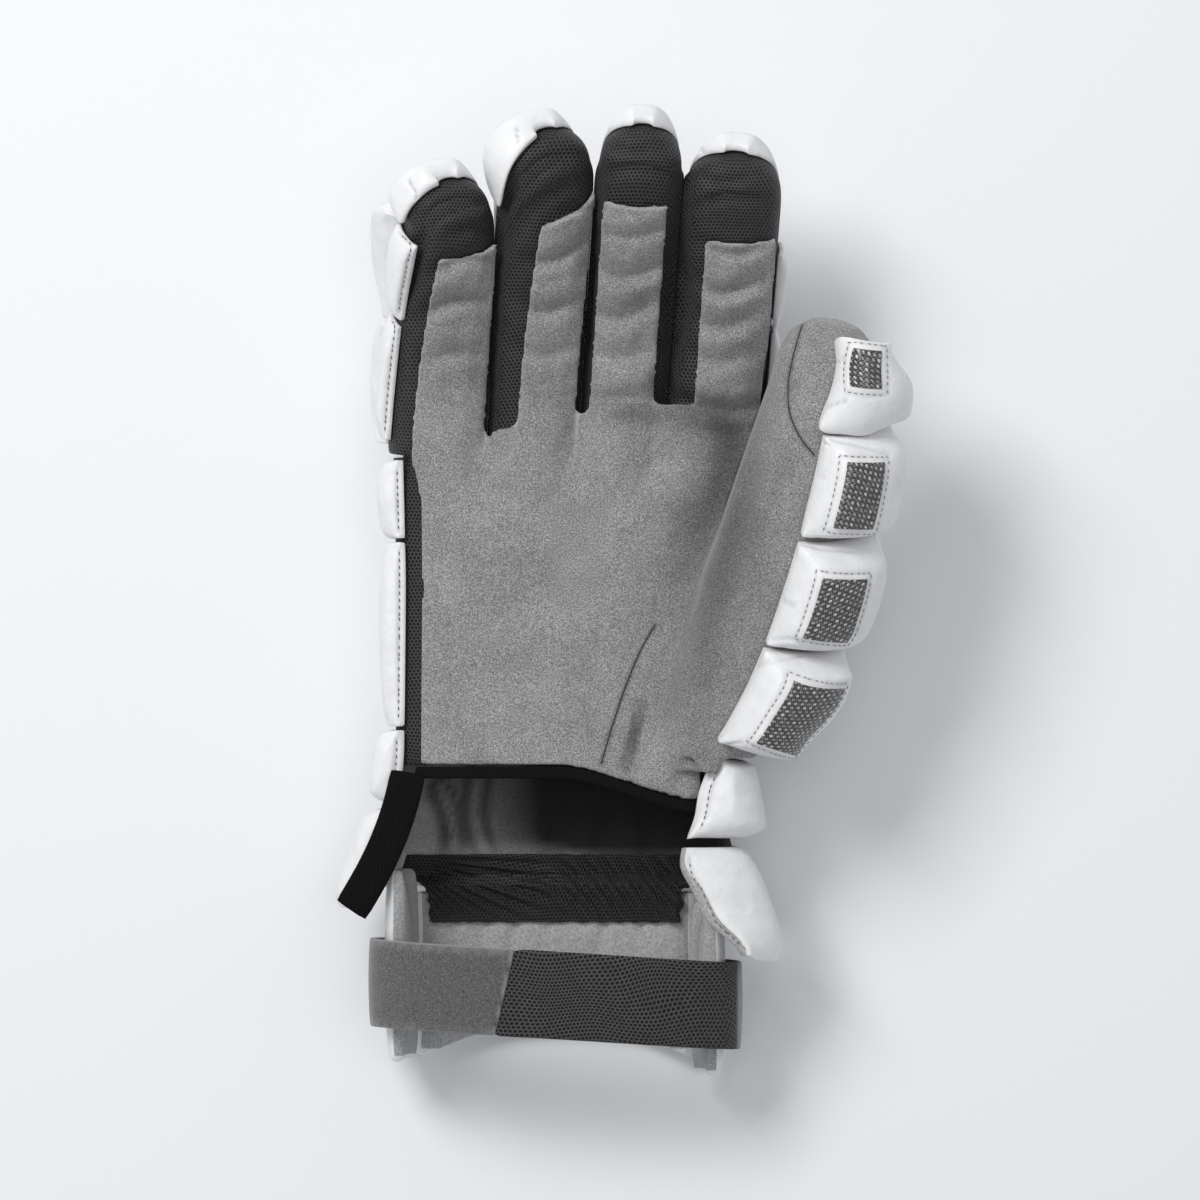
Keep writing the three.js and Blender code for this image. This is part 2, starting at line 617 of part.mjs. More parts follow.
// Walls of the hand: the mesh down the little-finger edge, tucked under the palm, and the lining
function handWall(from, to, rows, tuck = () => 0, filled = () => true) {
  const lines = gridLines(from, to, handStops, 0);
  const point = (out) => (i, j) => onHand(lines[i], alongHand(rows[j]), out + tuck(lines[i]));
  return closedWall({
    columns: lines.length - 1, rows: rows.length - 1, outer: point(0), inner: point(-WALL),
    filled: (i, j) => filled(lines[i], rows[j]),
  });
}
const tucked = (angle) => -(SUEDE + STRIP_GAP) * (1 - smooth(angle, SIDE_TUCK, SIDE_PADS));
piece('side_mesh', 'mesh', handWall(SIDE_EDGE, SIDE_SEAM, SIDE_ROWS, tucked,
  (angle, row) => row < SIDE_NOTCH.row || angle > SIDE_NOTCH.angle));
piece('back_liner', 'lining', cutFrom(handWall(SIDE_SEAM + SEAM_WIDTH, LINER_EDGE, LINER_ROWS, () => 0,
  (angle, row) => row < LINER_NOTCH.row || angle < LINER_NOTCH.angle), [thumbRoom]));

// Rolls on the backs of the fingers. The little finger's and the tips that begin early swell
// past the side of the finger, the others only backwards.
FINGERS.forEach((finger, index) => {
  const tube = tubes[index];
  const rolls = [
    { name: 'base', from: ROLL_START, to: ROLL_SEAM - ROLL_SLIT / 2, first: ROLL_EDGE, pad: FINGER_PAD },
    { name: 'middle', from: ROLL_SEAM + ROLL_SLIT / 2, to: finger.tipAt - ROLL_SLIT, first: ROLL_EDGE,
      pad: MIDDLE_PAD },
    { name: 'tip', from: finger.tipAt, to: ROLL_TIP, first: finger.tipFrom, pad: TIP_PAD },
  ];
  for (const roll of rolls) {
    const swells = index === 0 || roll.first < ROLL_EDGE;
    const sideOut = (angle, out) => (swells && Math.cos(radians(angle)) < 0 ? out * ROLL_SWELL : -GAP);
    piece(`roll_${finger.name}_${roll.name}`, 'leather', paddedPiece({
      across: [roll.first, FULL_TURN * 1.5 - ROLL_EDGE],
      along: [roll.from, roll.to],
      stops: fingerStops,
      rows: [...SOCK_ROWS, ...DOME_ROWS],
      low: GAP,
      high: GAP + roll.pad,
      surface: (angle, v, out) => onTube(tube, angle, v, out),
      shape: (angle, v, out) => onTube(tube, angle, v, out, ROLL_SQUARENESS, sideOut(angle, out)),
    }));
  }
});

// Flat pads on the sides of the little finger and the index finger
for (const pad of FINGER_SIDE_PADS) {
  piece(pad.name, 'leather', paddedPiece({
    across: [pad.from, pad.to],
    along: [pad.foot, pad.top],
    stops: fingerStops,
    rows: SOCK_ROWS,
    low: GAP,
    high: GAP + pad.pad * SIDE_PAD,
    surface: (angle, v, out) => onTube(tubes[pad.finger], angle, v, out),
  }));
}

// Rolls of the thumb, their woven inserts and the smaller rolls behind them
THUMB_ROLLS.forEach((roll, index) => {
  const common = {
    along: [roll.from, roll.to],
    stops: fingerStops,
    rows: [...THUMB_ROWS, ...DOME_ROWS],
    low: GAP,
    surface: (angle, v, out) => onTube(thumb, angle, v, out),
    skew: (angle) => THUMB_SKEW * (1 - angle / THUMB_PAD_EDGE),
  };
  const front = { ...common, across: [0, THUMB_PAD_EDGE], high: GAP + roll.pad * THUMB_PAD };
  piece(`thumb_pad_${index + 1}`, 'leather', paddedPiece(front));
  if (roll.rear) {
    piece(`thumb_rear_${index + 1}`, 'leather', paddedPiece({
      ...common, across: THUMB_REAR_EDGES, high: GAP + THUMB_REAR_PAD,
    }));
  }
  const border = (roll.to - roll.from) * INSERT_BORDER;
  const onPad = (angle, v, out) => onTube(thumb, angle, v,
    out + mix(front.low, front.high, fullness(front, angle, v - front.skew(angle))));
  piece(`thumb_insert_${index + 1}`, 'weave', paddedPiece({
    across: [roll.insertFrom, roll.insertTo],
    along: [roll.from + border, roll.to - border],
    stops: gridLines(0, THUMB_PAD_EDGE, fingerStops),
    rows: gridLines(roll.from, roll.to, common.rows),
    low: GAP,
    high: GAP + INSERT_THICKNESS,
    edge: 1,
    surface: onPad,
    skew: common.skew,
  }));
});

// Pads on the hand and the flare
for (const pad of HAND_PADS) {
  const spread = pad.spread ?? 1;
  const low = pad.low ?? GAP;
  piece(pad.name, 'leather', paddedPiece({
    across: [pad.from, pad.to],
    along: [alongHand(pad.foot), alongHand(pad.top)],
    stops: handStops,
    rows: HAND_LOOPS.map((loop) => alongHand(loop.along)),
    low,
    high: low + pad.pad * BACK_PAD,
    surface: onHand,
    shape: (angle, y, out) => onHand(angle, y, out, low + (out - low) * spread),
    floor: 0,
  }));
}

// Point on the floating cuff: its back slopes down to the floor at its lower edge.
const cuffY = (share) => -CUFF_START - share * CUFF_LENGTH;
function onCuff(angle, share, out) {
  const turn = radians(angle);
  const lift = CUFF_RISE * (1 - share / CUFF_REST);
  return new THREE.Vector3(
    HAND_LOOPS[1].shift * HAND_WIDTH
      + (CUFF_WIDTH / 2 + out) * signedPower(Math.cos(turn), 2 / HAND_SQUARENESS),
    cuffY(share),
    CUFF_DEPTH / 2 + lift + (CUFF_DEPTH / 2 + out) * signedPower(Math.sin(turn), 2 / HAND_SQUARENESS));
}
for (const pad of CUFF_PADS) {
  piece(pad.name, 'leather', paddedPiece({
    across: [pad.from, pad.to],
    along: [pad.top, pad.foot],
    stops: handStops,
    rows: [],
    low: -CUFF_PADDING,
    high: 0,
    edge: CUFF_EDGE,
    both: true,
    surface: onCuff,
    skew: (angle, share) => pad.corner * Math.abs(Math.cos(radians(angle))) ** 2
      * (share - pad.top) / (pad.foot - pad.top),
    floor: 0,
  }));
}

// Gathered mesh from the inside of the lining over the top of the cuff
const wristLines = gridLines(...WRIST_EDGES, handStops, 0);
const wristVertex = (out) => (i, j) => {
  const row = WRIST_ROWS[j];
  const y = alongHand(row.along);
  const share = (-y - CUFF_START) / CUFF_LENGTH;
  const onLining = onHand(wristLines[i], y, out - WALL - WRIST_TUCK);
  return onLining.lerp(onCuff(wristLines[i], share, out - CUFF_PADDING - GAP), row.cuff);
};
piece('wrist_mesh', 'mesh', closedWall({
  columns: wristLines.length - 1,
  rows: WRIST_ROWS.length - 1,
  outer: wristVertex(0),
  inner: wristVertex(-WALL),
}));

// Closing strap in two halves round the cuff: lean slants the end at each of its two angles.
function strapPiece(name, finish, from, to, lean) {
  const lines = gridLines(from, to, handStops, 0);
  const vertex = (out) => (i, j) => {
    const ends = lines[i] === from ? lean[0] : lines[i] === to ? lean[1] : 0;
    const angle = lines[i] + ends * (j - 0.5);
    const drop = STRAP_DROP * (1 + signedPower(Math.cos(radians(angle)), 2 / HAND_SQUARENESS)) / 2;
    const share = (STRAP_START + drop + STRAP_WIDTH * j - CUFF_START) / CUFF_LENGTH;
    return onCuff(angle, share, GAP + out);
  };
  piece(name, finish, closedWall({
    columns: lines.length - 1,
    rows: 1,
    outer: vertex(STRAP_THICKNESS),
    inner: vertex(0),
  }));
}
strapPiece('strap_tab', 'webbing', STRAP_ENDS.joint + STRAP_SLIT / 2, STRAP_ENDS.left, [STRAP_LEAN, 0]);
strapPiece('strap_mesh', 'mesh', STRAP_ENDS.right, STRAP_ENDS.joint - STRAP_SLIT / 2, [0, STRAP_LEAN]);

// Fabric tab sewn to the little-finger end of the hem: it hangs past the wrist pads and lies on them.
const tagVertex = (out) => (i, j) => {
  const t = j / TAG_STEPS;
  const lean = Math.atan(TAG_LEAN * (TAG_TURN.start + 2 * TAG_TURN.bend * t));
  const drift = TAG_LENGTH * TAG_LEAN * (TAG_TURN.start * t + TAG_TURN.bend * t ** 2);
  const across = (i - 0.5) * TAG_WIDTH;
  return new THREE.Vector3(
    TAG_ROOT.x * HAND_WIDTH - drift + across * Math.cos(lean),
    TAG_ROOT.y * PALM_LENGTH - TAG_LENGTH * t - across * Math.sin(lean),
    TAG_HEIGHT + TAG_BEND * Math.sin(t * Math.PI) + out);
};
piece('pull_tag', 'mesh', closedWall({
  columns: 1,
  rows: TAG_STEPS,
  outer: tagVertex(TAG_THICKNESS),
  inner: tagVertex(0),
}));

// Set the middle of the underside at the origin
const box = new THREE.Box3().setFromObject(glove);
glove.position.set(-(box.min.x + box.max.x) / 2, -(box.min.y + box.max.y) / 2, -box.min.z);

export default glove;
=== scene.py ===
# %% [markdown]
# A padded lacrosse glove lies on its back with the palm up. The solids of the glove come from
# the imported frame, in metres, and this file dresses them: suede, knitted mesh, padded leather
# rolls, woven inserts, a strap and all the stitching. Each cell makes one group of pieces.

from math import pi, radians

import bmesh
import bpy
import numpy as np
from mathutils import Matrix, Vector
from mathutils.bvhtree import BVHTree
from mathutils.kdtree import KDTree


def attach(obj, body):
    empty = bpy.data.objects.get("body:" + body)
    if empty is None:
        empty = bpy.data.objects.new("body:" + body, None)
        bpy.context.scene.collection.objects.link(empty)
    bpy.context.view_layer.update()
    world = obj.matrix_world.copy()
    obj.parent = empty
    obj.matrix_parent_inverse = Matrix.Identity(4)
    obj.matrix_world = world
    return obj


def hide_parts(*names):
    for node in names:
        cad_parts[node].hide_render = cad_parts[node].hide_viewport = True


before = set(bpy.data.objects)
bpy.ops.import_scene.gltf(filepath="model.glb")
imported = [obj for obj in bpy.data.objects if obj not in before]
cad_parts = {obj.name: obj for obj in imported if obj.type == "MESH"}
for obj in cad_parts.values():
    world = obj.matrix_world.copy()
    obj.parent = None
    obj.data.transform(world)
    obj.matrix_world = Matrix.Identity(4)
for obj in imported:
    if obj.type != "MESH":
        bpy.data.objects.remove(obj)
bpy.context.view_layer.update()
MM = 0.001
print("frame loaded:", len(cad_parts), "nodes")

# %% [markdown]
# Places on the palm are easiest to read in the picture that the glove is made after. One of its
# pixels is 0.34 mm, so a table of pixels becomes a line on the glove as it is seen from above.

# %% Places read from the picture
PIXEL = 0.34 * MM
PICTURE_CENTRE = (624.4, 593.1)


def at_pixel(px, py):
    """Place on the glove, seen from above, of a pixel of the picture."""
    return ((px - PICTURE_CENTRE[0]) * PIXEL, (PICTURE_CENTRE[1] - py) * PIXEL)


def at_x(px):
    return at_pixel(px, 0)[0]


def at_y(py):
    return at_pixel(0, py)[1]


def smooth_line(pixels, spacing=0.6 * MM):
    """Even points along a soft curve through pixels, as an array of x and y."""
    corners = np.array([at_pixel(*pixel) for pixel in pixels])
    for _ in range(3):
        start, end = corners[:-1], corners[1:]
        cut = np.stack([start * 0.75 + end * 0.25, start * 0.25 + end * 0.75], 1).reshape(-1, 2)
        corners = np.vstack([corners[:1], cut[1:-1], corners[-1:]])
    return even_points(corners, spacing)


def lengths_along(line):
    """How far along a line each of its points is."""
    return np.concatenate([[0], np.cumsum(np.linalg.norm(np.diff(line, axis=0), axis=1))])


def even_points(line, spacing):
    """Points at even spacing along a line."""
    along = lengths_along(line)
    count = max(2, int(round(along[-1] / spacing)) + 1)
    wanted = np.linspace(0, along[-1], count)
    return np.stack([np.interp(wanted, along, line[:, axis]) for axis in range(line.shape[1])], 1)


def distance_to_line(points, line):
    """Distance of each point from a line, and how far along the line it is, from 0 to 1."""
    best = np.full(len(points), np.inf)
    place = np.zeros(len(points))
    for index, (start, end) in enumerate(zip(line[:-1], line[1:])):
        step = end - start
        share = np.clip((points - start) @ step / max(step @ step, 1e-12), 0, 1)
        away = np.linalg.norm(points - (start + share[:, None] * step), axis=1)
        nearer = away < best
        best[nearer] = away[nearer]
        place[nearer] = (index + share[nearer]) / (len(line) - 1)
    return best, place


def from_line(points, pixels):
    """distance_to_line as it is seen from above, for a line through pixels."""
    return distance_to_line(points[:, :2], smooth_line(pixels))


def bell(away, width, power=2):
    """1 at no distance, and falling softly to 0 past the width."""
    return np.exp(-(away / width) ** power)


def fade(along, end, power):
    """1 in the middle of a line, and less towards both of its ends."""
    return np.sin(np.clip(along, end, 1 - end) * pi) ** power


def ramp_up(values, low, high):
    """0 below low, 1 above high and a soft step between."""
    share = np.clip((values - low) / (high - low), 0, 1)
    return share * share * (3 - 2 * share)


# %% [markdown]
# Every piece starts as a copy of a CAD node's mesh. The loose triangles are welded and joined
# to quads, because quads subdivide into an even surface. Sharp rims are creased, so that the
# edge of a cloth stays an edge while its face turns smooth.

# %% Copies of the frame's meshes
RIM_ANGLE = radians(50)
QUAD_ANGLE, QUAD_SKEW = radians(70), radians(80)
WELD = 0.01 * MM
ABOVE = 0.3


def welded(*nodes):
    """A bmesh of CAD nodes with the loose corners of their triangles joined."""
    work = bmesh.new()
    for node in nodes:
        work.from_mesh(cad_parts[node].data)
    bmesh.ops.remove_doubles(work, verts=work.verts, dist=WELD)
    return work


def sharp_edges(work, angle):
    """Edges between two faces that meet at more than an angle."""
    inner = [edge for edge in work.edges if len(edge.link_faces) == 2]
    return [edge for edge in inner if edge.calc_face_angle(0) > angle]


def copy_of(name, *nodes, crease=None):
    """A new object with welded copies of CAD nodes. crease keeps their rims sharp."""
    work = welded(*nodes)
    bmesh.ops.join_triangles(
        work, faces=work.faces, angle_face_threshold=QUAD_ANGLE, angle_shape_threshold=QUAD_SKEW)
    if crease is not None:
        layer = work.edges.layers.float.new("crease_edge")
        for edge in sharp_edges(work, RIM_ANGLE):
            edge[layer] = crease
    return finished(name, work)


def finished(name, work):
    """An object from a bmesh, with smooth faces."""
    for face in work.faces:
        face.smooth = True
    mesh = bpy.data.meshes.new(name)
    work.to_mesh(mesh)
    work.free()
    piece = bpy.data.objects.new(name, mesh)
    bpy.context.scene.collection.objects.link(piece)
    return piece


def settle(piece):
    """Applies a piece's modifiers to its mesh."""
    graph = bpy.context.evaluated_depsgraph_get()
    mesh = bpy.data.meshes.new_from_object(piece.evaluated_get(graph))
    piece.modifiers.clear()
    piece.data = mesh
    mesh.polygons.foreach_set("use_smooth", np.ones(len(mesh.polygons), bool))
    return piece


def modified(piece, kind, **settings):
    """Applies one modifier."""
    modifier = piece.modifiers.new(kind.title(), kind)
    for name, value in settings.items():
        setattr(modifier, name, value)
    return settle(piece)


def subdivide(piece, levels):
    """Applies a subdivision surface."""
    return modified(piece, "SUBSURF", levels=levels, render_levels=levels)


def smooth(piece, times, group=""):
    """Relaxes a piece's vertices, or those of a group, towards their neighbours."""
    return modified(piece, "SMOOTH", iterations=times, factor=0.5, vertex_group=group)


def vectors(vertices, name):
    """One kind of vector of all the vertices, as an array with three columns."""
    flat = np.empty(len(vertices) * 3, np.float32)
    vertices.foreach_get(name, flat)
    return flat.reshape(-1, 3).astype(float)


def points_of(piece):
    return vectors(piece.data.vertices, "co")


def normals_of(piece):
    return vectors(piece.data.vertex_normals, "vector")


def place_points(piece, points):
    piece.data.vertices.foreach_set("co", points.astype(np.float32).ravel())
    piece.data.update()


def paint(piece, name, values):
    """Keeps one number a vertex on a piece, for its material."""
    attribute = piece.data.attributes.new(name, "FLOAT", "POINT")
    attribute.data.foreach_set("value", values.astype(np.float32))


def nudge(piece, rows):
    """Pulls a piece's points near one pixel of the picture towards another, as seen from above."""
    points = points_of(piece)
    for start, end, reach in rows:
        pull = np.array(at_pixel(*end)) - at_pixel(*start)
        away = np.linalg.norm(points[:, :2] - at_pixel(*start), axis=1)
        points[:, :2] += pull * bell(away, reach * MM)[:, None]
    place_points(piece, points)


def tree_of(*pieces):
    """Search tree of the faces of pieces."""
    work = bmesh.new()
    for piece in pieces:
        work.from_mesh(piece.data)
    tree = BVHTree.FromBMesh(work)
    work.free()
    return tree


def from_above(tree, x, y):
    """Where the faces of a search tree are met from above, and the normal there, or None twice."""
    return tree.ray_cast(Vector((x, y, ABOVE)), Vector((0, 0, -1)))[:2]


def on_surface(tree, point, up, reach):
    """Place and normal on a surface over or under a point, or else nearest to it."""
    place, normal, _, _ = tree.ray_cast(Vector(point) + up * reach, -up, 2 * reach)
    if place is None:
        place, normal, _, _ = tree.find_nearest(Vector(point))
    return place, normal


def wear(piece, material, nodes):
    """Gives a piece its material and its body, and hides the CAD nodes that it stands for."""
    piece.data.materials.clear()
    piece.data.materials.append(material)
    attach(piece, "root")
    if nodes:
        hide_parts(*nodes)
    return piece


# %% [markdown]
# The studio comes first: a pale floor, a soft light from beyond the fingertips on the left, a
# weaker one from straight above, and an even pale sky. The camera looks straight down through a
# long lens, as in the picture, so that the rolls show little perspective.

# %% Floor, lights and camera
CAMERA_HEIGHT = 4.0
SENSOR_WIDTH = 36
PICTURE_WIDTH = 408 * MM
PLANE_HEIGHT = 0.05
VIEW_CENTRE = at_pixel(600, 600)
FLOOR_HALF_WIDTH = 3
SKY_STRENGTH = 0.40


def plain_material(name, colour, roughness):
    material = bpy.data.materials.new(name)
    material.use_nodes = True
    shader = material.node_tree.nodes["Principled BSDF"]
    shader.inputs["Base Color"].default_value = (*colour, 1)
    shader.inputs["Roughness"].default_value = roughness
    return material


work = bmesh.new()
bmesh.ops.create_grid(work, x_segments=1, y_segments=1, size=FLOOR_HALF_WIDTH)
floor = finished("studio_floor", work)
floor.data.materials.append(plain_material("studio_floor", (0.9, 0.91, 0.925), 0.9))

LIGHTS = [
    # name, place, power in watts, size in metres
    ("key_light", (-0.9, 1.0, 1.7), 27, 0.8),
    ("top_light", (0.2, 0.1, 1.9), 5, 1.0),
]
for name, place, power, size in LIGHTS:
    data = bpy.data.lights.new(name, "AREA")
    data.energy = power
    data.size = size
    light = bpy.data.objects.new(name, data)
    light.location = place
    light.rotation_euler = (-Vector(place)).to_track_quat("-Z", "Y").to_euler()
    bpy.context.scene.collection.objects.link(light)

world = bpy.data.worlds.new("studio")
world.use_nodes = True
sky = world.node_tree.nodes["Background"].inputs
sky["Color"].default_value = (0.95, 0.97, 1, 1)
sky["Strength"].default_value = SKY_STRENGTH
bpy.context.scene.world = world
bpy.context.scene.view_settings.view_transform = "Standard"

camera_data = bpy.data.cameras.new("camera")
camera_data.sensor_width = SENSOR_WIDTH
camera_data.lens = SENSOR_WIDTH * (CAMERA_HEIGHT - PLANE_HEIGHT) / PICTURE_WIDTH
camera = bpy.data.objects.new("camera", camera_data)
camera.location = (*VIEW_CENTRE, CAMERA_HEIGHT)
bpy.context.scene.collection.objects.link(camera)
bpy.context.scene.camera = camera

# %% [markdown]
# Materials are small node trees. These helpers add a node and link it in one call, and the next
# cells use them to mix noise, ramps and bumps.

# %% Node helpers


def node(tree, kind, inputs=None, **settings):
    """Adds a shader node. A socket given as an input is linked, and a value is set."""
    made = tree.nodes.new("ShaderNode" + kind)
    for name, value in settings.items():
        setattr(made, name, value)
    for name, value in (inputs or {}).items():
        if isinstance(value, bpy.types.NodeSocket):
            tree.links.new(value, made.inputs[name])
        else:
            made.inputs[name].default_value = value
    return made


def math(tree, operation, first, second=None, third=None):
    values = {index: value for index, value in enumerate((first, second, third)) if value is not None}
    return node(tree, "Math", values, operation=operation).outputs[0]


def vector_math(tree, operation, first, second=None):
    """Adds a vector operation. The second input of SCALE is a number."""
    inputs = {0: first}
    if second is not None:
        inputs["Scale" if operation == "SCALE" else 1] = second
    made = node(tree, "VectorMath", inputs, operation=operation)
    return made.outputs["Value" if operation == "LENGTH" else "Vector"]


def noise(tree, vector, scale, detail=2.0, rough=0.5):
    inputs = {"Vector": vector, "Scale": scale, "Detail": detail, "Roughness": rough}
    return node(tree, "TexNoise", inputs).outputs["Fac"]


def ramp(tree, value, stops):
    """Colours between stops, each a place and a grey or a colour."""
    made = node(tree, "ValToRGB", {"Fac": value})
    elements = made.color_ramp.elements
    while len(elements) < len(stops):
        elements.new(0.5)
    for element, (place, colour) in zip(elements, stops):
        element.position = place
        element.color = (*colour, 1) if isinstance(colour, tuple) else (colour, colour, colour, 1)
    return made.outputs["Color"]


def multiply(tree, first, second):
    made = node(tree, "Mix", data_type="RGBA", blend_type="MULTIPLY")
    made.inputs["Factor"].default_value = 1
    for index, value in ((6, first), (7, second)):
        tree.links.new(value, made.inputs[index])
    return made.outputs[2]


def blend(tree, share, first, second):
    made = node(tree, "Mix", {"Factor": share}, data_type="RGBA")
    for index, value in ((6, first), (7, second)):
        if isinstance(value, bpy.types.NodeSocket):
            tree.links.new(value, made.inputs[index])
        else:
            made.inputs[index].default_value = (value, value, value, 1)
    return made.outputs[2]


def painted(tree, name):
    """A number that is painted on the vertices."""
    return node(tree, "Attribute", attribute_name=name).outputs["Fac"]


def darkened(tree, colour, name, least):
    """A colour that falls to its least share where a painted number is 1."""
    return multiply(tree, colour, ramp(tree, painted(tree, name), [(0, 1.0), (1, least)]))


def dress(tree, shader, colour, normal):
    """Links a shader's colour and its bumps."""
    tree.links.new(colour, shader.inputs["Base Color"])
    tree.links.new(normal, shader.inputs["Normal"])


def bump(tree, height, distance, strength=1.0, under=None):
    inputs = {"Height": height, "Distance": distance, "Strength": strength}
    if under is not None:
        inputs["Normal"] = under
    return node(tree, "Bump", inputs).outputs["Normal"]


def new_cloth(name, roughness, **sockets):
    """A material with constants for some sockets, and its tree, shader and coordinates."""
    material = bpy.data.materials.new(name)
    material.use_nodes = True
    tree = material.node_tree
    shader = tree.nodes["Principled BSDF"]
    shader.inputs["Roughness"].default_value = roughness
    for socket, value in sockets.items():
        shader.inputs[socket.replace("_", " ")].default_value = value
    return material, tree, shader, node(tree, "TexCoord").outputs["Object"]


# %% [markdown]
# Brushed suede has a fine grain that catches light in specks, broad cloudy patches where the nap
# lies the other way, and pale worn edges where it is cut. The grain is noise at less than a
# millimetre, and the edges come from a number painted on the vertices. A second painted number
# darkens the suede with painted shade in its valleys and folds and beside its seams.

# %% Suede
suede, tree, shader, place = new_cloth(
    "suede", 0.95, Sheen_Weight=0.25, Sheen_Roughness=0.6, Specular_IOR_Level=0.2)
grain = noise(tree, place, 3000, 1, 0.6)
specks = noise(tree, place, 1800, 1, 0.6)
clouds = noise(tree, place, 60, 3, 0.6)
colour = ramp(tree, math(tree, "MULTIPLY_ADD", specks, 0.5, math(tree, "MULTIPLY", grain, 0.5)),
              [(0.36, 0.15), (0.5, 0.285), (0.62, 0.50)])
colour = multiply(tree, colour, ramp(tree, clouds, [(0.3, 0.78), (0.7, 1.0)]))
colour = blend(tree, painted(tree, "edge"), darkened(tree, colour, "shade", 0.35), 0.5)
rumpled = bump(tree, noise(tree, place, 75, 2, 0.5), 3.5 * MM, 0.55)
dress(tree, shader, colour, bump(tree, grain, 0.3 * MM, 0.7, rumpled))

# %% [markdown]
# The knitted mesh has rows of round holes in a hexagonal order. The pattern is built from two
# square patterns that are shifted by half a step, and the nearer centre wins. A group holds it
# once, and it is laid on from three sides, so that it doesn't smear on a finger's flank.

# %% Pattern of round holes
ROOT_3 = 3 ** 0.5


def hole_pattern():
    group = bpy.data.node_groups.new("round_holes", "ShaderNodeTree")
    group.interface.new_socket("Vector", in_out="INPUT", socket_type="NodeSocketVector")
    group.interface.new_socket("Distance", in_out="OUTPUT", socket_type="NodeSocketFloat")
    entry = group.nodes.new("NodeGroupInput").outputs["Vector"]
    distances = []
    for shift in ((0, 0, 0), (0.5, ROOT_3 / 2, 0)):
        moved = vector_math(group, "ADD", entry, shift)
        scaled = vector_math(group, "MULTIPLY", moved, (1, 1 / ROOT_3, 0))
        cell = vector_math(group, "FRACTION", scaled)
        centred = vector_math(group, "SUBTRACT", cell, (0.5, 0.5, 0))
        back = vector_math(group, "MULTIPLY", centred, (1, ROOT_3, 0))
        distances.append(vector_math(group, "LENGTH", back))
    out = group.nodes.new("NodeGroupOutput")
    group.links.new(math(group, "MINIMUM", *distances), out.inputs["Distance"])
    return group


holes = hole_pattern()


def hole_distance(tree, place, pitch):
    """Distance from the nearest hole's centre, in pitches, laid on from three sides."""
    parts = node(tree, "SeparateXYZ", {0: vector_math(tree, "SCALE", place, 1 / pitch)}).outputs
    normal = node(tree, "SeparateXYZ", {0: node(tree, "TexCoord").outputs["Normal"]}).outputs
    total, weights = None, None
    for first, second, across in ((0, 1, 2), (1, 2, 0), (0, 2, 1)):
        laid = node(tree, "CombineXYZ", {0: parts[first], 1: parts[second]}).outputs[0]
        group = node(tree, "Group", node_tree=holes)
        tree.links.new(laid, group.inputs[0])
        weight = math(tree, "POWER", math(tree, "ABSOLUTE", normal[across]), 8.0)
        part = math(tree, "MULTIPLY", group.outputs[0], weight)
        total = part if total is None else math(tree, "ADD", total, part)
        weights = weight if weights is None else math(tree, "ADD", weights, weight)
    return math(tree, "DIVIDE", total, weights)


def holed_cloth(name, pitch, hole, yarn, roughness, waver):
    """A cloth with round holes, whose rows waver a little."""
    material, tree, shader, place = new_cloth(
        name, roughness, Sheen_Weight=0.05, Specular_IOR_Level=0.4)
    drift = node(tree, "TexNoise", {"Vector": place, "Scale": 25.0, "Detail": 1.0}).outputs["Color"]
    place = vector_math(tree, "ADD", place, vector_math(tree, "SCALE", drift, waver))
    distance = hole_distance(tree, place, pitch)
    # Dark holes and yarn, with a painted highlight that lightens the yarn farthest from the holes.
    rim = ramp(tree, distance, [(0.27, hole), (0.37, yarn), (0.5, yarn * 2.2)])
    mottle = ramp(tree, noise(tree, place, 400, 2), [(0.3, 0.7), (0.7, 1.0)])
    # Painted shade darkens the cloth where a number painted on its vertices asks for it.
    colour = multiply(tree, darkened(tree, rim, "shade", 0.25), mottle)
    height = ramp(tree, distance, [(0.15, 0.0), (0.4, 1.0)])
    dress(tree, shader, blend(tree, painted(tree, "pale"), colour, 0.32), bump(tree, height, 0.3 * MM))
    return material


mesh_cloth = holed_cloth("knitted_mesh", 1.35 * MM, 0.0005, 0.029, 0.6, 7 * MM)
strap_cloth = holed_cloth("strap_mesh_cloth", 1.55 * MM, 0.001, 0.046, 0.7, 14 * MM)

# %% [markdown]
# The rolls wear a smooth coated leather: nearly white, with a very fine grain and faint soft
# wrinkles. Painted shade greys it a little along the seams and in its creases. The cuff is leather
# outside and brushed lining inside, and a number painted on its vertices tells the shader which is
# which. The lining is darker deep in the glove, a painted shade.

# %% Leather, lining, webbing and tape
leather, tree, shader, place = new_cloth("leather", 0.42, Specular_IOR_Level=0.4)
fine = noise(tree, place, 1800, 2, 0.6)
soft = noise(tree, place, 120, 3, 0.55)
colour = ramp(tree, soft, [(0.3, (0.80, 0.80, 0.805)), (0.7, (0.87, 0.87, 0.875))])
# Painted shade along the seams, creases and grooves, from a number painted on the vertices.
colour = darkened(tree, colour, "seam", 0.42)
brushed = ramp(tree, noise(tree, place, 1200, 3, 0.7), [(0.35, 0.30), (0.65, 0.52)])
inside = ramp(tree, painted(tree, "inner"), [(0.4, 0.0), (0.6, 1.0)])
rough = math(tree, "MULTIPLY_ADD", inside, 0.45, 0.42)
tree.links.new(rough, shader.inputs["Roughness"])
creases = noise(tree, place, 260, 3, 0.6)
wrinkled = bump(tree, creases, 0.5 * MM, 0.4, bump(tree, soft, 1.6 * MM, 0.45))
dress(tree, shader, blend(tree, inside, colour, brushed), bump(tree, fine, 0.08 * MM, 0.5, wrinkled))

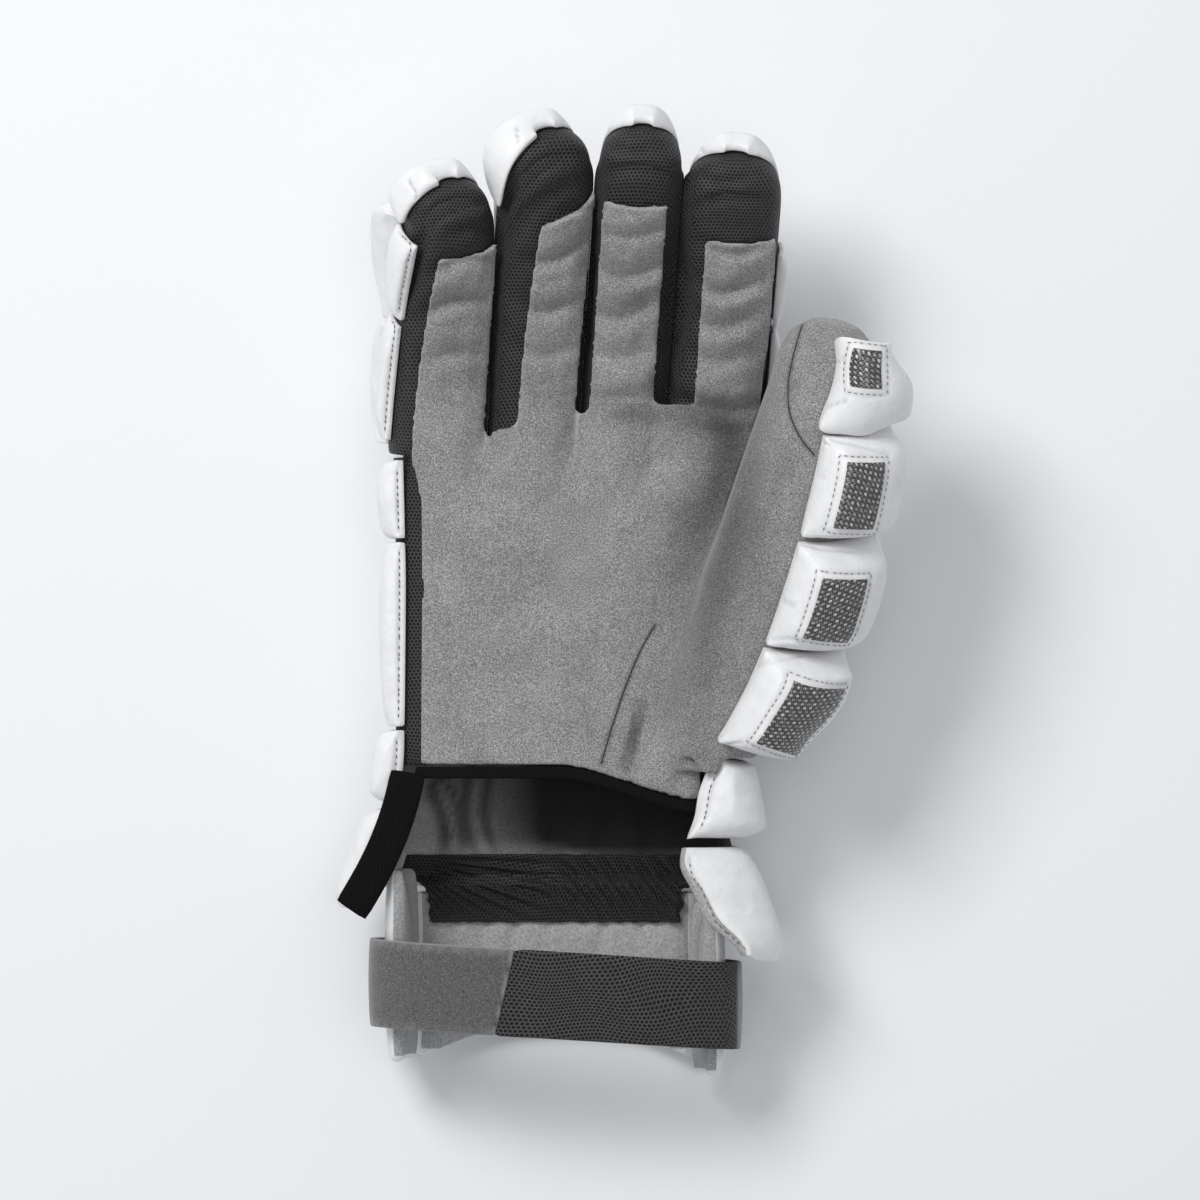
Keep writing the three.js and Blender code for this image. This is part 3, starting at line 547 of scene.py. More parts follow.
lining, tree, shader, place = new_cloth("lining", 0.9, Sheen_Weight=0.05)
grain = noise(tree, place, 1200, 3, 0.7)
soft = noise(tree, place, 90, 2)
colour = ramp(tree, grain, [(0.35, 0.36), (0.65, 0.58)])
colour = multiply(tree, colour, ramp(tree, soft, [(0.3, 0.85), (0.7, 1.0)]))
# Painted shade, from a number painted on the vertices.
colour = darkened(tree, colour, "shade", 0.02)
dress(tree, shader, colour, bump(tree, grain, 0.15 * MM, 0.5, bump(tree, soft, 1.0 * MM, 0.5)))

webbing, tree, shader, place = new_cloth("loop_webbing", 0.9, Sheen_Weight=0.3)
loops = node(tree, "TexVoronoi", {"Vector": place, "Scale": 1500.0}).outputs["Distance"]
knit = noise(tree, vector_math(tree, "MULTIPLY", place, (3000, 2200, 3000)), 1.0, 2)
colour = ramp(tree, knit, [(0.35, 0.075), (0.65, 0.23)])
colour = multiply(tree, colour, ramp(tree, loops, [(0.0, 1.0), (0.8, 0.6)]))
colour = blend(tree, painted(tree, "selvedge"), colour, 0.26)
dress(tree, shader, colour, bump(tree, loops, 0.25 * MM, 0.7))

tape, tree, shader, place = new_cloth("binding_tape", 0.85, Specular_IOR_Level=0.12)
waves = {"Vector": place, "Scale": 420.0, "Distortion": 5.0, "Detail": 2.0}
ribs = node(tree, "TexWave", waves).outputs["Fac"]
dress(tree, shader, ramp(tree, ribs, [(0.2, 0.002), (0.9, 0.008)]), bump(tree, ribs, 0.2 * MM, 0.6))

thread_grey = plain_material("grey_thread", (0.22, 0.22, 0.22), 0.7)
thread_dark = plain_material("dark_thread", (0.02, 0.02, 0.02), 0.8)

# %% [markdown]
# The inserts on the thumb show a plain weave of flat shiny yarns under a clear coat. Each yarn
# arches over the next, which a cosine across its width shows in the bumps and in a painted
# highlight on its crown. Every other yarn is painted lighter too, and bright flecks are painted
# glints. The pattern follows the piece's own UV map, in millimetres.

# %% Woven insert
YARN = 1.3


def weave_material():
    material, tree, shader, _ = new_cloth("woven_insert", 0.35, Coat_Weight=0.6, Coat_Roughness=0.15)
    flat = node(tree, "UVMap").outputs[0]
    turned = node(tree, "VectorRotate", {"Vector": flat, "Angle": radians(45)}).outputs[0]
    parts = node(tree, "SeparateXYZ", {0: vector_math(tree, "SCALE", turned, 1 / YARN)}).outputs
    cells = [math(tree, "FLOOR", parts[axis]) for axis in (0, 1)]
    parity = math(tree, "MODULO", math(tree, "ADD", math(tree, "ADD", *cells), 100.0), 2.0)
    arches = []
    for axis in (0, 1):
        offset = math(tree, "SUBTRACT", math(tree, "FRACT", parts[axis]), 0.5)
        arches.append(math(tree, "COSINE", math(tree, "MULTIPLY", offset, pi)))
    chosen = math(tree, "ADD", math(tree, "MULTIPLY", arches[0], parity),
                  math(tree, "MULTIPLY", arches[1], math(tree, "SUBTRACT", 1.0, parity)))
    # Painted highlight: lighter on each yarn's crown and on every other yarn, darker at the yarns'
    # edges.
    painted_sheen = math(tree, "MULTIPLY_ADD", parity, 0.35, math(tree, "MULTIPLY", chosen, 0.65))
    # Painted glints: bright flecks over the weave.
    painted_glints = ramp(tree, noise(tree, flat, 0.55, 1), [(0.45, 0.9), (0.7, 2.6)])
    colour = multiply(tree, ramp(tree, painted_sheen, [(0.15, 0.014), (0.6, 0.07), (1.0, 0.30)]), painted_glints)
    dress(tree, shader, colour, bump(tree, chosen, 0.35 * MM))
    return material


woven = weave_material()

# %% [markdown]
# The suede of the palm and the thumb reads as one skin in the real glove. It could be kept as
# three subdivided walls, but their edges would meet in a hard line. Voxel remesh joins the copies
# into one wall of even quads, and relaxing them rounds the facets. Where the thumb grows out of
# the palm they are relaxed for longer, so that the skin runs over in one soft hollow. Small flat
# patches bridge the slot at the thumb's foot and the thin places below two crotches first.

# %% Suede shell
SUEDE_NODES = ("palm", "thumb_panel", "thumb_side")
suede_shell = copy_of("suede_shell", *SUEDE_NODES)
CUT_ANGLE = radians(65)
VOXEL, ROUND_TIMES = 1.0 * MM, 9
cut_edges = []
work = welded("palm")
for edge in sharp_edges(work, CUT_ANGLE):
    start, end = (vert.co.copy() for vert in edge.verts)
    cut_edges.extend(start.lerp(end, share / 8) for share in range(9))
work.free()

BRIDGE_SIDE = 14
BRIDGE_SIZE = (4.5 * MM, 5.5 * MM, 1.1 * MM, 1)
BRIDGE = [
    # pixel, and how deep the middle of the patch lies under the skin beside it, in millimetres
    (664, 757, 1.1), (671, 758, 1.1), (678, 758, 1.1), (685, 759, 1.1), (692, 760, 1.1),
    (699, 760, 1.4), (705, 759, 2.6), (711, 760, 3.4), (484, 452, 1.1), (486, 458, 1.1),
    (487, 466, 1.1), (575, 472, 1.1), (576, 480, 1.1),
]
bare_shell = tree_of(suede_shell)
work = bmesh.new()
work.from_mesh(suede_shell.data)
for px, py, deep in BRIDGE:
    ends = (at_pixel(px, py - BRIDGE_SIDE), at_pixel(px, py + BRIDGE_SIDE))
    tops = [place.z for place, _ in (from_above(bare_shell, *end) for end in ends) if place is not None]
    where = Matrix.Translation((*at_pixel(px, py), sum(tops) / len(tops) - deep * MM))
    bmesh.ops.create_icosphere(
        work, subdivisions=2, radius=1, matrix=where @ Matrix.Diagonal(BRIDGE_SIZE))
work.to_mesh(suede_shell.data)
work.free()
modified(suede_shell, "REMESH", mode="VOXEL", voxel_size=VOXEL, use_smooth_shade=True)
smooth(suede_shell, ROUND_TIMES)

JOIN_LINE = [(768, 384), (743, 446), (718, 521), (698, 571), (683, 623), (670, 700), (664, 758)]
JOIN_REACH, JOIN_HEIGHTS, JOIN_TIMES = 9 * MM, (0.036, 0.046), 90
points = points_of(suede_shell)
weights = bell(from_line(points, JOIN_LINE)[0], JOIN_REACH) * ramp_up(points[:, 2], *JOIN_HEIGHTS)
group = suede_shell.vertex_groups.new(name="join")
for index in np.flatnonzero(weights > 0.02):
    group.add([int(index)], float(weights[index]), "REPLACE")
smooth(suede_shell, JOIN_TIMES, "join")
print("suede shell:", len(suede_shell.data.vertices), "vertices")

# %% [markdown]
# Folds and valleys are pressed into the skin by moving its vertices up and down where the picture
# shows them. A fold is a narrow dent with a low ridge beside it, and a valley is wide and takes
# the whole wall with it.

# %% Folds of the suede
FOLDS = [
    # pixels along the fold, depth and half width in millimetres
    ([(418, 318), (450, 300), (487, 300)], 1.7, 2.4),
    ([(424, 362), (455, 350), (487, 356)], 1.1, 2.6),
    ([(432, 274), (465, 258), (500, 264)], 1.3, 2.0),
    ([(452, 238), (475, 229), (502, 236)], 0.9, 1.7),
    ([(545, 224), (575, 208), (602, 212)], 1.1, 1.7),
    ([(526, 262), (556, 263), (592, 238)], 1.7, 2.2),
    ([(516, 300), (545, 315), (582, 298)], 1.6, 2.4),
    ([(512, 345), (548, 357), (580, 342)], 1.0, 2.6),
    ([(592, 230), (632, 241), (672, 228)], 1.1, 1.8),
    ([(588, 262), (622, 281), (664, 266)], 1.8, 2.2),
    ([(588, 310), (622, 319), (660, 300)], 1.6, 2.6),
    ([(592, 350), (626, 358), (656, 344)], 1.0, 2.6),
    ([(700, 244), (734, 259), (768, 244)], 1.3, 1.8),
    ([(692, 278), (722, 297), (762, 280)], 1.8, 2.2),
    ([(696, 318), (725, 329), (758, 312)], 1.5, 2.6),
    ([(688, 352), (720, 363), (760, 350)], 1.0, 2.8),
    ([(655, 384), (690, 404), (735, 411), (770, 400)], 2.0, 2.2),
    ([(596, 400), (626, 394), (656, 400)], 1.3, 2.2),
    ([(745, 520), (752, 480), (768, 440)], 1.0, 2.4),
    ([(728, 548), (742, 510), (748, 470)], 0.9, 2.2),
]
VALLEYS = [
    # pixels along the valley, depth and half width in millimetres, and its share at both ends
    ([(765, 400), (735, 440), (705, 500), (672, 590), (640, 680)], 4.4, 9.0, (1.0, 0.25)),
    ([(655, 405), (700, 430), (735, 428)], 1.8, 6.0, (0.4, 1.0)),
    ([(500, 415), (505, 455)], 1.2, 4.0, (1.0, 0.2)),
    ([(582, 395), (590, 440)], 1.2, 4.0, (1.0, 0.2)),
]
SKIN_DEPTH = (5 * MM, 11 * MM)
SKIN_HEIGHTS = (0.036, 0.044)
RIDGE, RIDGE_PLACE, RIDGE_WIDTH = 0.45, 2.3, 1.1
FOLD_DEPTH, FOLD_SHADE = 1.35, 0.34
EDGE_WEAR, EDGE_WIDTH = 0.75, 0.7 * MM
SEAM_SHADE, SEAM_WIDTH = 0.8, 0.8 * MM


def skin_share(points, tops):
    """1 for points close under the glove's upper side, and 0 for those deep below it."""
    share = np.zeros(len(points))
    for index, (x, y, z) in enumerate(points):
        place = from_above(tops, x, y)[0]
        if place is not None:
            share[index] = 1 - ramp_up(np.array([place.z - z]), *SKIN_DEPTH)[0]
    return share


def press_folds(piece, tops):
    """Dents with a ridge on both sides. All the layers near the top move, so none breaks through."""
    points = points_of(piece)
    share = skin_share(points, tops)
    for pixels, depth, width in FOLDS:
        away, along = from_line(points, pixels)
        reach = width * MM
        ridge = RIDGE * bell(away - RIDGE_PLACE * reach, RIDGE_WIDTH * reach)
        dent = ridge - bell(away, reach)
        points[:, 2] += FOLD_DEPTH * depth * MM * dent * fade(along, 0.06, 0.5) * share
    place_points(piece, points)


def press_valleys(piece):
    """Wide hollows that take a cloth and what lies under it down together."""
    points = points_of(piece)
    skin = ramp_up(points[:, 2], *SKIN_HEIGHTS)
    for pixels, depth, width, (start, end) in VALLEYS:
        away, along = from_line(points, pixels)
        share = start + (end - start) * along
        points[:, 2] -= depth * MM * share * bell(away, width * MM) * skin
    place_points(piece, points)


FINGERS = ("pinky", "ring", "middle", "index")
socks = {finger: subdivide(copy_of(f"sock_{finger}", f"mesh_{finger}"), 3) for finger in FINGERS}
tops_tree = tree_of(suede_shell, *socks.values())
press_folds(suede_shell, tops_tree)
press_valleys(suede_shell)

edge_tree = KDTree(len(cut_edges))
for index, corner in enumerate(cut_edges):
    edge_tree.insert(corner, index)
edge_tree.balance()
near_edge = np.array([edge_tree.find(Vector(point))[2] for point in points_of(suede_shell)])
paint(suede_shell, "edge", EDGE_WEAR * bell(near_edge, EDGE_WIDTH))

SUEDE_SEAMS = [
    [(601, 764), (612, 726), (624, 690), (640, 650), (655, 625)],
    [(801, 326), (792, 355), (786, 385), (787, 415), (798, 440), (812, 456)],
]
SHADE_BANDS = [
    # pixels along the band, half width in millimetres, strength and how sharp its edge is
    ([(626, 765), (634, 735), (641, 704)], 2.6, 0.9, 4),
    ([(668, 392), (712, 416), (738, 440), (716, 500), (688, 570)], 9.0, 1.0, 2),
    ([(752, 420), (742, 470), (730, 540), (712, 600), (700, 680)], 9.0, 0.85, 2),
    ([(690, 700), (700, 640), (716, 580), (728, 520)], 16.0, 0.55, 2),
    ([(596, 404), (632, 414), (690, 402)], 5.0, 0.40, 2),
    ([(592, 262), (625, 300), (655, 262)], 9.0, 0.30, 2),
]
# Painted shade on the faces that look up: darker in the valleys, on the thumb's slope, along the folds
# and beside the seams.
shade = np.zeros(len(near_edge))
points = points_of(suede_shell)
for pixels, width, depth, power in SHADE_BANDS:
    away, along = from_line(points, pixels)
    shade = np.maximum(shade, depth * fade(along, 0.1, 0.4) * bell(away, width * MM, power))
for pixels, depth, width in FOLDS:
    away, along = from_line(points, pixels)
    dark = FOLD_SHADE * depth * fade(along, 0.05, 0.5)
    shade = np.maximum(shade, dark * bell(away, 0.6 * width * MM))
for pixels in SUEDE_SEAMS:
    shade = np.maximum(shade, SEAM_SHADE * bell(from_line(points, pixels)[0], SEAM_WIDTH))
paint(suede_shell, "shade", shade * ramp_up(normals_of(suede_shell)[:, 2], 0.0, 0.4))
wear(suede_shell, suede, SUEDE_NODES)
print("folds pressed:", len(FOLDS), "and valleys:", len(VALLEYS))

# %% [markdown]
# The suede's folds run on over the finger socks, so the socks were made above: tubes of knitted
# mesh with a domed end. A few soft hollows show that they are cloth over nothing. The flanks of
# neighbours are moved out until they touch, and no sock may stick through the suede.

# %% Finger socks
SOCK_FOLDS = [
    # pixels along the fold, depth and half width in millimetres
    ([(420, 225), (450, 205), (495, 205)], 2.2, 2.4),
    ([(412, 262), (432, 222), (468, 198)], 1.6, 2.6),
    ([(402, 300), (412, 275), (418, 250)], 1.4, 2.6),
    ([(500, 250), (528, 215), (580, 186)], 1.8, 3.0),
    ([(490, 232), (512, 190), (560, 160)], 1.6, 3.0),
    ([(520, 200), (545, 165), (590, 160)], 1.2, 3.0),
    ([(598, 178), (640, 172), (672, 182)], 1.6, 2.4),
    ([(602, 150), (636, 158), (668, 150)], 1.0, 2.8),
    ([(690, 212), (725, 200), (770, 206)], 1.6, 2.4),
    ([(694, 180), (725, 188), (756, 178)], 1.1, 2.6),
    ([(672, 250), (690, 300), (672, 350)], 1.4, 3.0),
    ([(655, 240), (668, 290), (660, 340)], 1.2, 3.0),
    ([(590, 240), (584, 300), (586, 350)], 1.2, 2.6),
]


def press_cloth(piece, folds, strength):
    """Presses soft hollows into the upper side of a cloth."""
    points, normals = points_of(piece), normals_of(piece)
    upper = ramp_up(normals[:, 2], 0.0, 0.5)
    push = np.zeros(len(points))
    for pixels, depth, width in folds:
        away, along = from_line(points, pixels)
        push -= depth * MM * bell(away, width * MM) * fade(along, 0.03, 0.5)
    place_points(piece, points + normals * (push * upper * strength)[:, None])


sock_trees = {finger: tree_of(sock) for finger, sock in socks.items()}
SOCK_GAP = 3.2 * MM
TOUCH, TOUCH_ROOM, TOUCH_FADE = 0.05 * MM, 0.02 * MM, 1.2 * MM
SOCK_STRENGTH = 1.5
SUEDE_ROOM = 2.1 * MM
shell_tree = tree_of(suede_shell)


def press_together(finger):
    """Moves a sock's flanks out to the middle of the gap to its neighbours."""
    sock = socks[finger]
    points, normals = points_of(sock), normals_of(sock)
    for index, point in enumerate(points):
        for tree in (tree for other, tree in sock_trees.items() if other != finger):
            place, _, _, away = tree.find_nearest(Vector(point), SOCK_GAP)
            if place is None or away < TOUCH:
                continue
            towards = (np.array(place) - point) / away
            if towards @ normals[index] > 0.5:
                share = ramp_up(SOCK_GAP - away, 0, TOUCH_FADE)
                points[index] += towards * (away / 2 - TOUCH_ROOM) * share
    place_points(sock, points)


def keep_under(piece, tree, room):
    """Lowers the points of a piece that stick through the skin above them."""
    points = points_of(piece)
    for index, (x, y, z) in enumerate(points):
        place = from_above(tree, x, y)[0]
        if place is not None and z > place.z - room:
            points[index, 2] = place.z - room
    place_points(piece, points)


for finger, sock in socks.items():
    press_together(finger)
    press_folds(sock, tops_tree)
    press_valleys(sock)
    press_cloth(sock, SOCK_FOLDS, SOCK_STRENGTH)
    keep_under(sock, shell_tree, SUEDE_ROOM)
    wear(sock, mesh_cloth, [f"mesh_{finger}"])


# %% [markdown]
# The flat cloths are the strip of mesh by the little finger, the hem's binding tape, the lining
# of the back, the gathered mesh at the wrist, the strap and the pull tag. Each is a subdivided
# copy with creased rims. The side strip is stretched up to the little finger's sock, and further
# beside the suede. The mesh half of the strap runs under the end of its loop half.

# %% Flat cloths
FLAT_CLOTHS = [
    # new name, node, material, slot, crease, levels
    ("side_strip", "side_mesh", mesh_cloth, "mesh", 0.9, 2),
    ("hem_binding", "palm_hem", tape, "binding", 0.45, 3),
    ("back_lining", "back_liner", lining, "lining", 0.9, 3),
    ("wrist_gather", "wrist_mesh", mesh_cloth, "mesh", 0.9, 4),
    ("strap_loop_part", "strap_tab", webbing, "webbing", 0.85, 3),
    ("strap_mesh_part", "strap_mesh", strap_cloth, "strap_mesh", 0.85, 3),
    ("tag_tape", "pull_tag", tape, "binding", 0.85, 2),
]
cloths = {}
for name, source, material, slot, crease, levels in FLAT_CLOTHS:
    piece = subdivide(copy_of(name, source, crease=crease), levels)
    cloths[name] = wear(piece, material, [source])

LINING_FOLDS = [
    # pixels along the fold, depth and half width in millimetres
    ([(440, 790), (455, 830), (450, 870)], 1.6, 3.0),
    ([(480, 770), (470, 820), (490, 870)], 1.4, 3.5),
    ([(555, 775), (560, 830), (550, 880)], 1.8, 4.0),
    ([(610, 790), (600, 840), (605, 880)], 1.2, 2.5),
    ([(640, 800), (650, 840), (640, 880)], 1.4, 2.5),
]
LINING_STRENGTH = 1.6
FAN_CORNER = at_pixel(396, 858)
FAN_ANGLE = 0.105
FAN_NEAR, FAN_START = 4 * MM, 25 * MM
FAN_TO_STRAIGHT = (38 * MM, 62 * MM)
GATHER_DEPTH = 1.3 * MM
STRAIGHT_FOLD, STRAIGHT_LEAN = 7.5 * MM, 0.9
WAVER, WAVER_RATE = 2.5, 110


def gather(piece):
    """Folds that fan out of the opening's left corner, and run up the cuff further right."""
    points, normals = points_of(piece), normals_of(piece)
    x, y = points[:, 0] - FAN_CORNER[0], points[:, 1] - FAN_CORNER[1]
    fan = np.cos(np.arctan2(y, np.maximum(x, FAN_NEAR)) / FAN_ANGLE * 2 * pi)
    waver = WAVER * np.sin(points[:, 0] * WAVER_RATE)
    straight = np.cos((points[:, 0] + STRAIGHT_LEAN * y) / STRAIGHT_FOLD * 2 * pi + waver)
    right = ramp_up(x, *FAN_TO_STRAIGHT)
    span = (points[:, 1] - points[:, 1].min()) / np.ptp(points[:, 1])
    folds = (1 - right) * fan * ramp_up(x, 0, FAN_START) + right * straight
    lift = GATHER_DEPTH * fade(span, 0.02, 0.7) * folds
    place_points(piece, points + normals * lift[:, None])


press_cloth(cloths["back_lining"], LINING_FOLDS, LINING_STRENGTH)
gather(cloths["wrist_gather"])

STRIP_BEND, STRIP_TOP = at_y(640), at_y(448)
STRIP_STRETCH = (1.05, 0.50)
side = points_of(cloths["side_strip"])
raised = np.maximum(side[:, 1] - STRIP_BEND, 0)
by_suede = ramp_up(side[:, 0], at_x(403), at_x(408))
side[:, 1] += raised * (STRIP_STRETCH[0] - 1 + STRIP_STRETCH[1] * by_suede)
side[:, 1] = np.minimum(side[:, 1], STRIP_TOP)
place_points(cloths["side_strip"], side)

nudge(cloths["strap_loop_part"], [((373, 985), (366, 985), 30)])
nudge(cloths["strap_mesh_part"], [((737, 1000), (745, 1002), 30)])

STRAP_TOP = 0.04
TUCK = np.array((-2.0, 0, -0.9)) * MM
joint = points_of(cloths["strap_mesh_part"])
close = ramp_up(at_x(545) - joint[:, 0], 0, 12 * MM) * (joint[:, 2] > STRAP_TOP)
place_points(cloths["strap_mesh_part"], joint + close[:, None] * TUCK)

# %% [markdown]
# Painted shade darkens the lining towards the right and deeper in the opening, and beside its
# folds, and darkens the gathered mesh, more towards the right. The strap has pale long edges on
# its loop half, and its right end shows the pale backing.

# %% Painted shade of the lining and the gather, and the strap's pale parts
points = points_of(cloths["back_lining"])
across = ramp_up(points[:, 0], at_x(405), at_x(640))
deep = ramp_up(points[:, 1], at_y(872), at_y(836))
for pixels, _, width in LINING_FOLDS:
    away = from_line(points, pixels)[0]
    across = np.maximum(across, 0.5 * bell(away - width * MM, width * MM))
paint(cloths["back_lining"], "shade", np.clip(0.4 * deep + across * (0.5 + 0.5 * deep), 0, 1))
# Painted shade over the whole gather, stronger towards the right.
across = ramp_up(points_of(cloths["wrist_gather"])[:, 0], at_x(600), at_x(690))
paint(cloths["wrist_gather"], "shade", 0.6 + 0.38 * across)
SLICES = 90
WRIST_HEIGHT = 0.035


def paint_selvedge(strap, width):
    """Marks the two long edges of a strap that runs round the wrist."""
    points = points_of(strap)
    turn = np.arctan2(points[:, 2] - WRIST_HEIGHT, points[:, 0] - at_x(555))
    bins = np.clip(((turn + pi) / (2 * pi) * SLICES).astype(int), 0, SLICES - 1)
    low, high = np.full(SLICES, np.inf), np.full(SLICES, -np.inf)
    np.minimum.at(low, bins, points[:, 1])
    np.maximum.at(high, bins, points[:, 1])
    away = np.minimum(points[:, 1] - low[bins], high[bins] - points[:, 1])
    paint(strap, "selvedge", bell(away, width, 4))


paint_selvedge(cloths["strap_loop_part"], 0.7 * MM)
ends = points_of(cloths["strap_mesh_part"])[:, 0]
paint(cloths["strap_mesh_part"], "pale", ramp_up(ends, at_x(736), at_x(740)))

# %% Flat sizes of the cloths
SHEETS = [
    # piece, flat width, length and area in millimetres, how it is held, and on what
    ("side_strip", 27, 112, 2963.52, "stretched", ["palm", "back_liner"]),
    ("hem_binding", 10, 106, 848, "folded", ["palm"]),
    ("back_lining", 134, 150, 18894, "stretched", ["palm", "hand_back_1"]),
    ("wrist_gather", 27, 150, 3969, "gathered", ["back_liner", "cuff_back"]),
    ("strap_loop_part", 33, 80, 2587.2, "stretched", ["cuff_back"]),
    ("strap_mesh_part", 34, 112, 3731.84, "stretched", ["cuff_back"]),
    ("tag_tape", 14, 50, 686, "laid", ["wrist_side"]),
    ("suede_shell", 190, 290, 35500, "stretched", ["mesh_ring"]),
    ("sock_pinky", 106, 96, 9000, "stretched", ["palm"]),
    ("sock_ring", 108, 113, 10400, "stretched", ["palm"]),
    ("sock_middle", 108, 114, 10000, "stretched", ["palm"]),
    ("sock_index", 108, 106, 10000, "stretched", ["palm"]),
]
for name, width, length, area, held, rests_on in SHEETS:
    flat = (width * MM, length * MM)


# %% [markdown]
# The rolls are stuffed leather. Voxel remesh would eat their thin rims, so each copy is subdivided
# with soft creases at its rims, and then blown up a little by a cloth simulation. All of them
# share one run without collisions. Points within a millimetre of the cloth and suede are pinned,
# and none may move further than the cap.

# %% Padded rolls: shapes to swell
RIM_CREASE = 0.45
SWELL_CAP = 2.2 * MM
PIN_REACH = 1.0 * MM
FRAMES = 20
CLOTH = {
    "quality": 4, "mass": 0.3, "tension_stiffness": 12, "compression_stiffness": 12,
    "bending_stiffness": 0.4, "use_pressure": True, "uniform_pressure_force": 7.0,
    "vertex_group_mass": "pin"}
cad_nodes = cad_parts
PAD_NODES = sorted(name for name in cad_nodes if name.startswith((
    "roll_", "pinky_side", "index_side", "thumb_pad", "thumb_rear", "hand_", "wrist_side", "flare_",
    "knuckle_", "wrist_back", "wrist_thumb", "cuff_")))
pads = {name: subdivide(copy_of(f"padded_{name}", name, crease=RIM_CREASE), 1) for name in PAD_NODES}
walls = copy_of("walls_under_pads", *sorted(set(cad_nodes) - set(PAD_NODES)))
wall_tree = tree_of(walls)
bpy.data.objects.remove(walls)
print("pads:", len(pads), "vertices:", sum(len(pad.data.vertices) for pad in pads.values()))

# %% Padded rolls: one cloth simulation


def swell(group):
    """Blows up closed pads by one short cloth simulation, and caps how far they move."""
    work = bmesh.new()
    for piece in group:
        work.from_mesh(piece.data)
    joined = finished("swelling", work)
    rest = points_of(joined)
    pin = joined.vertex_groups.new(name="pin")
    for index, point in enumerate(rest):
        if wall_tree.find_nearest(Vector(point))[3] < PIN_REACH:
            pin.add([index], 1.0, "REPLACE")
    modifier = joined.modifiers.new("Cloth", "CLOTH")
    for name, value in CLOTH.items():
        setattr(modifier.settings, name, value)
    modifier.settings.effector_weights.gravity = 0
    modifier.collision_settings.use_collision = False
    modifier.point_cache.frame_start, modifier.point_cache.frame_end = 1, FRAMES
    for step in range(1, FRAMES + 1):
        bpy.context.scene.frame_set(step)
    settle(joined)
    bpy.context.scene.frame_set(1)
    moved = points_of(joined) - rest
    bpy.data.objects.remove(joined)
    length = np.linalg.norm(moved, axis=1, keepdims=True)
    moved *= np.minimum(1, SWELL_CAP / np.maximum(length, 1e-9))
    start = 0
    for piece in group:
        end = start + len(piece.data.vertices)
        place_points(piece, rest[start:end] + moved[start:end])
        start = end
    print("swelled by", round(float(np.linalg.norm(moved, axis=1).mean()) / MM, 2), "mm on average")


swell(list(pads.values()))
TIP_ROUNDING = 30
ROUNDED = {"cuff_wing_pinky": 40, "cuff_wing_thumb": 40, "cuff_back": 12, "thumb_pad_1": 12}
NUDGES = {
    # pad: pixels from, pixels to, reach in millimetres
    "thumb_pad_1": [((925, 348), (896, 350), 9), ((885, 421), (905, 425), 10),
                    ((838, 421), (826, 432), 8), ((862, 421), (862, 432), 8),
                    ((845, 343), (838, 340), 6)],
    "thumb_insert_1": [((880, 360), (868, 366), 14)],
    "thumb_pad_4": [((838, 762), (814, 764), 12)],
    "thumb_insert_4": [((838, 760), (812, 757), 12), ((772, 672), (786, 670), 9)],
    "wrist_thumb": [((722, 845), (694, 842), 9), ((700, 765), (716, 762), 8)],
    "flare_thumb": [((700, 865), (688, 865), 7), ((712, 962), (742, 955), 11)],
}
HIDDEN_PADS = ("hand_back", "knuckle", "wrist_back", "flare_back")
for name, pad in pads.items():
    subdivide(pad, 1 if name.startswith(HIDDEN_PADS) else 2)
    if name.endswith("_tip") or name in ROUNDED:
        smooth(pad, ROUNDED.get(name, TIP_ROUNDING))
    nudge(pad, NUDGES.get(name, []))


# %% [markdown]
# The cuff and its wings wear lining on the side that faces the wrist and leather outside, and so
# do the flares. The sides are told apart by which way the vertices face.

# %% Skins of the rolls
WRIST_AXIS = np.array((-0.0235, 0, 0.04))
# Painted shade: the leather is greyed where each roll meets the pieces under it.
WALL_SHADE, SEAM_REACH = 0.6, 1.1 * MM
WING_TURN, CUFF_TURN = (-0.5, -0.2), (-0.3, 0.0)
LEATHER_RIM = (1.5 * MM, 3.0 * MM)
TWO_SKINS = ("cuff_back", "cuff_wing_pinky", "cuff_wing_thumb", "flare_pinky", "flare_thumb")
for name, pad in pads.items():
    off_wall = np.array([wall_tree.find_nearest(Vector(point))[3] for point in points_of(pad)])
    paint(pad, "seam", WALL_SHADE * bell(off_wall, SEAM_REACH))
    wear(pad, leather, [name])
    if name in TWO_SKINS:
        points = points_of(pad)
        towards = WRIST_AXIS - points
        towards[:, 1] = 0
        towards /= np.linalg.norm(towards, axis=1, keepdims=True)
        facing = (towards * normals_of(pad)).sum(1)
        inner = ramp_up(facing, *(WING_TURN if "wing" in name else CUFF_TURN))
        rim = ramp_up(points[:, 1] - points[:, 1].min(), *LEATHER_RIM)
        paint(pad, "inner", inner * rim)


# %% [markdown]
# The inserts are thin skins that lie on the thumb rolls. Their UV map is laid out flat in
# millimetres, along the two directions in which the piece is longest.

# %% Woven inserts


def flat_axes(points):
    """Centre of a flat piece, and its long, short and upright directions."""
    centre = points.mean(0)
    axes = np.linalg.svd(points - centre, full_matrices=False)[2]
    if axes[2][2] < 0:
        axes[2] = -axes[2]
    return centre, axes


INSERT_RISE = 0.4 * MM
INSERT_DEPTH = 0.6 * MM


def lay_on(piece, tree, up):
    """Lays a thin skin on a surface: its face just above it, and its underside just below."""
    points, normals = points_of(piece), normals_of(piece)
    for index, point in enumerate(points):
        place, normal = on_surface(tree, point, up, 20 * MM)
        rise = INSERT_RISE if normals[index] @ np.array(up) > 0 else -INSERT_DEPTH
        points[index] = place + normal * rise
    place_points(piece, points)


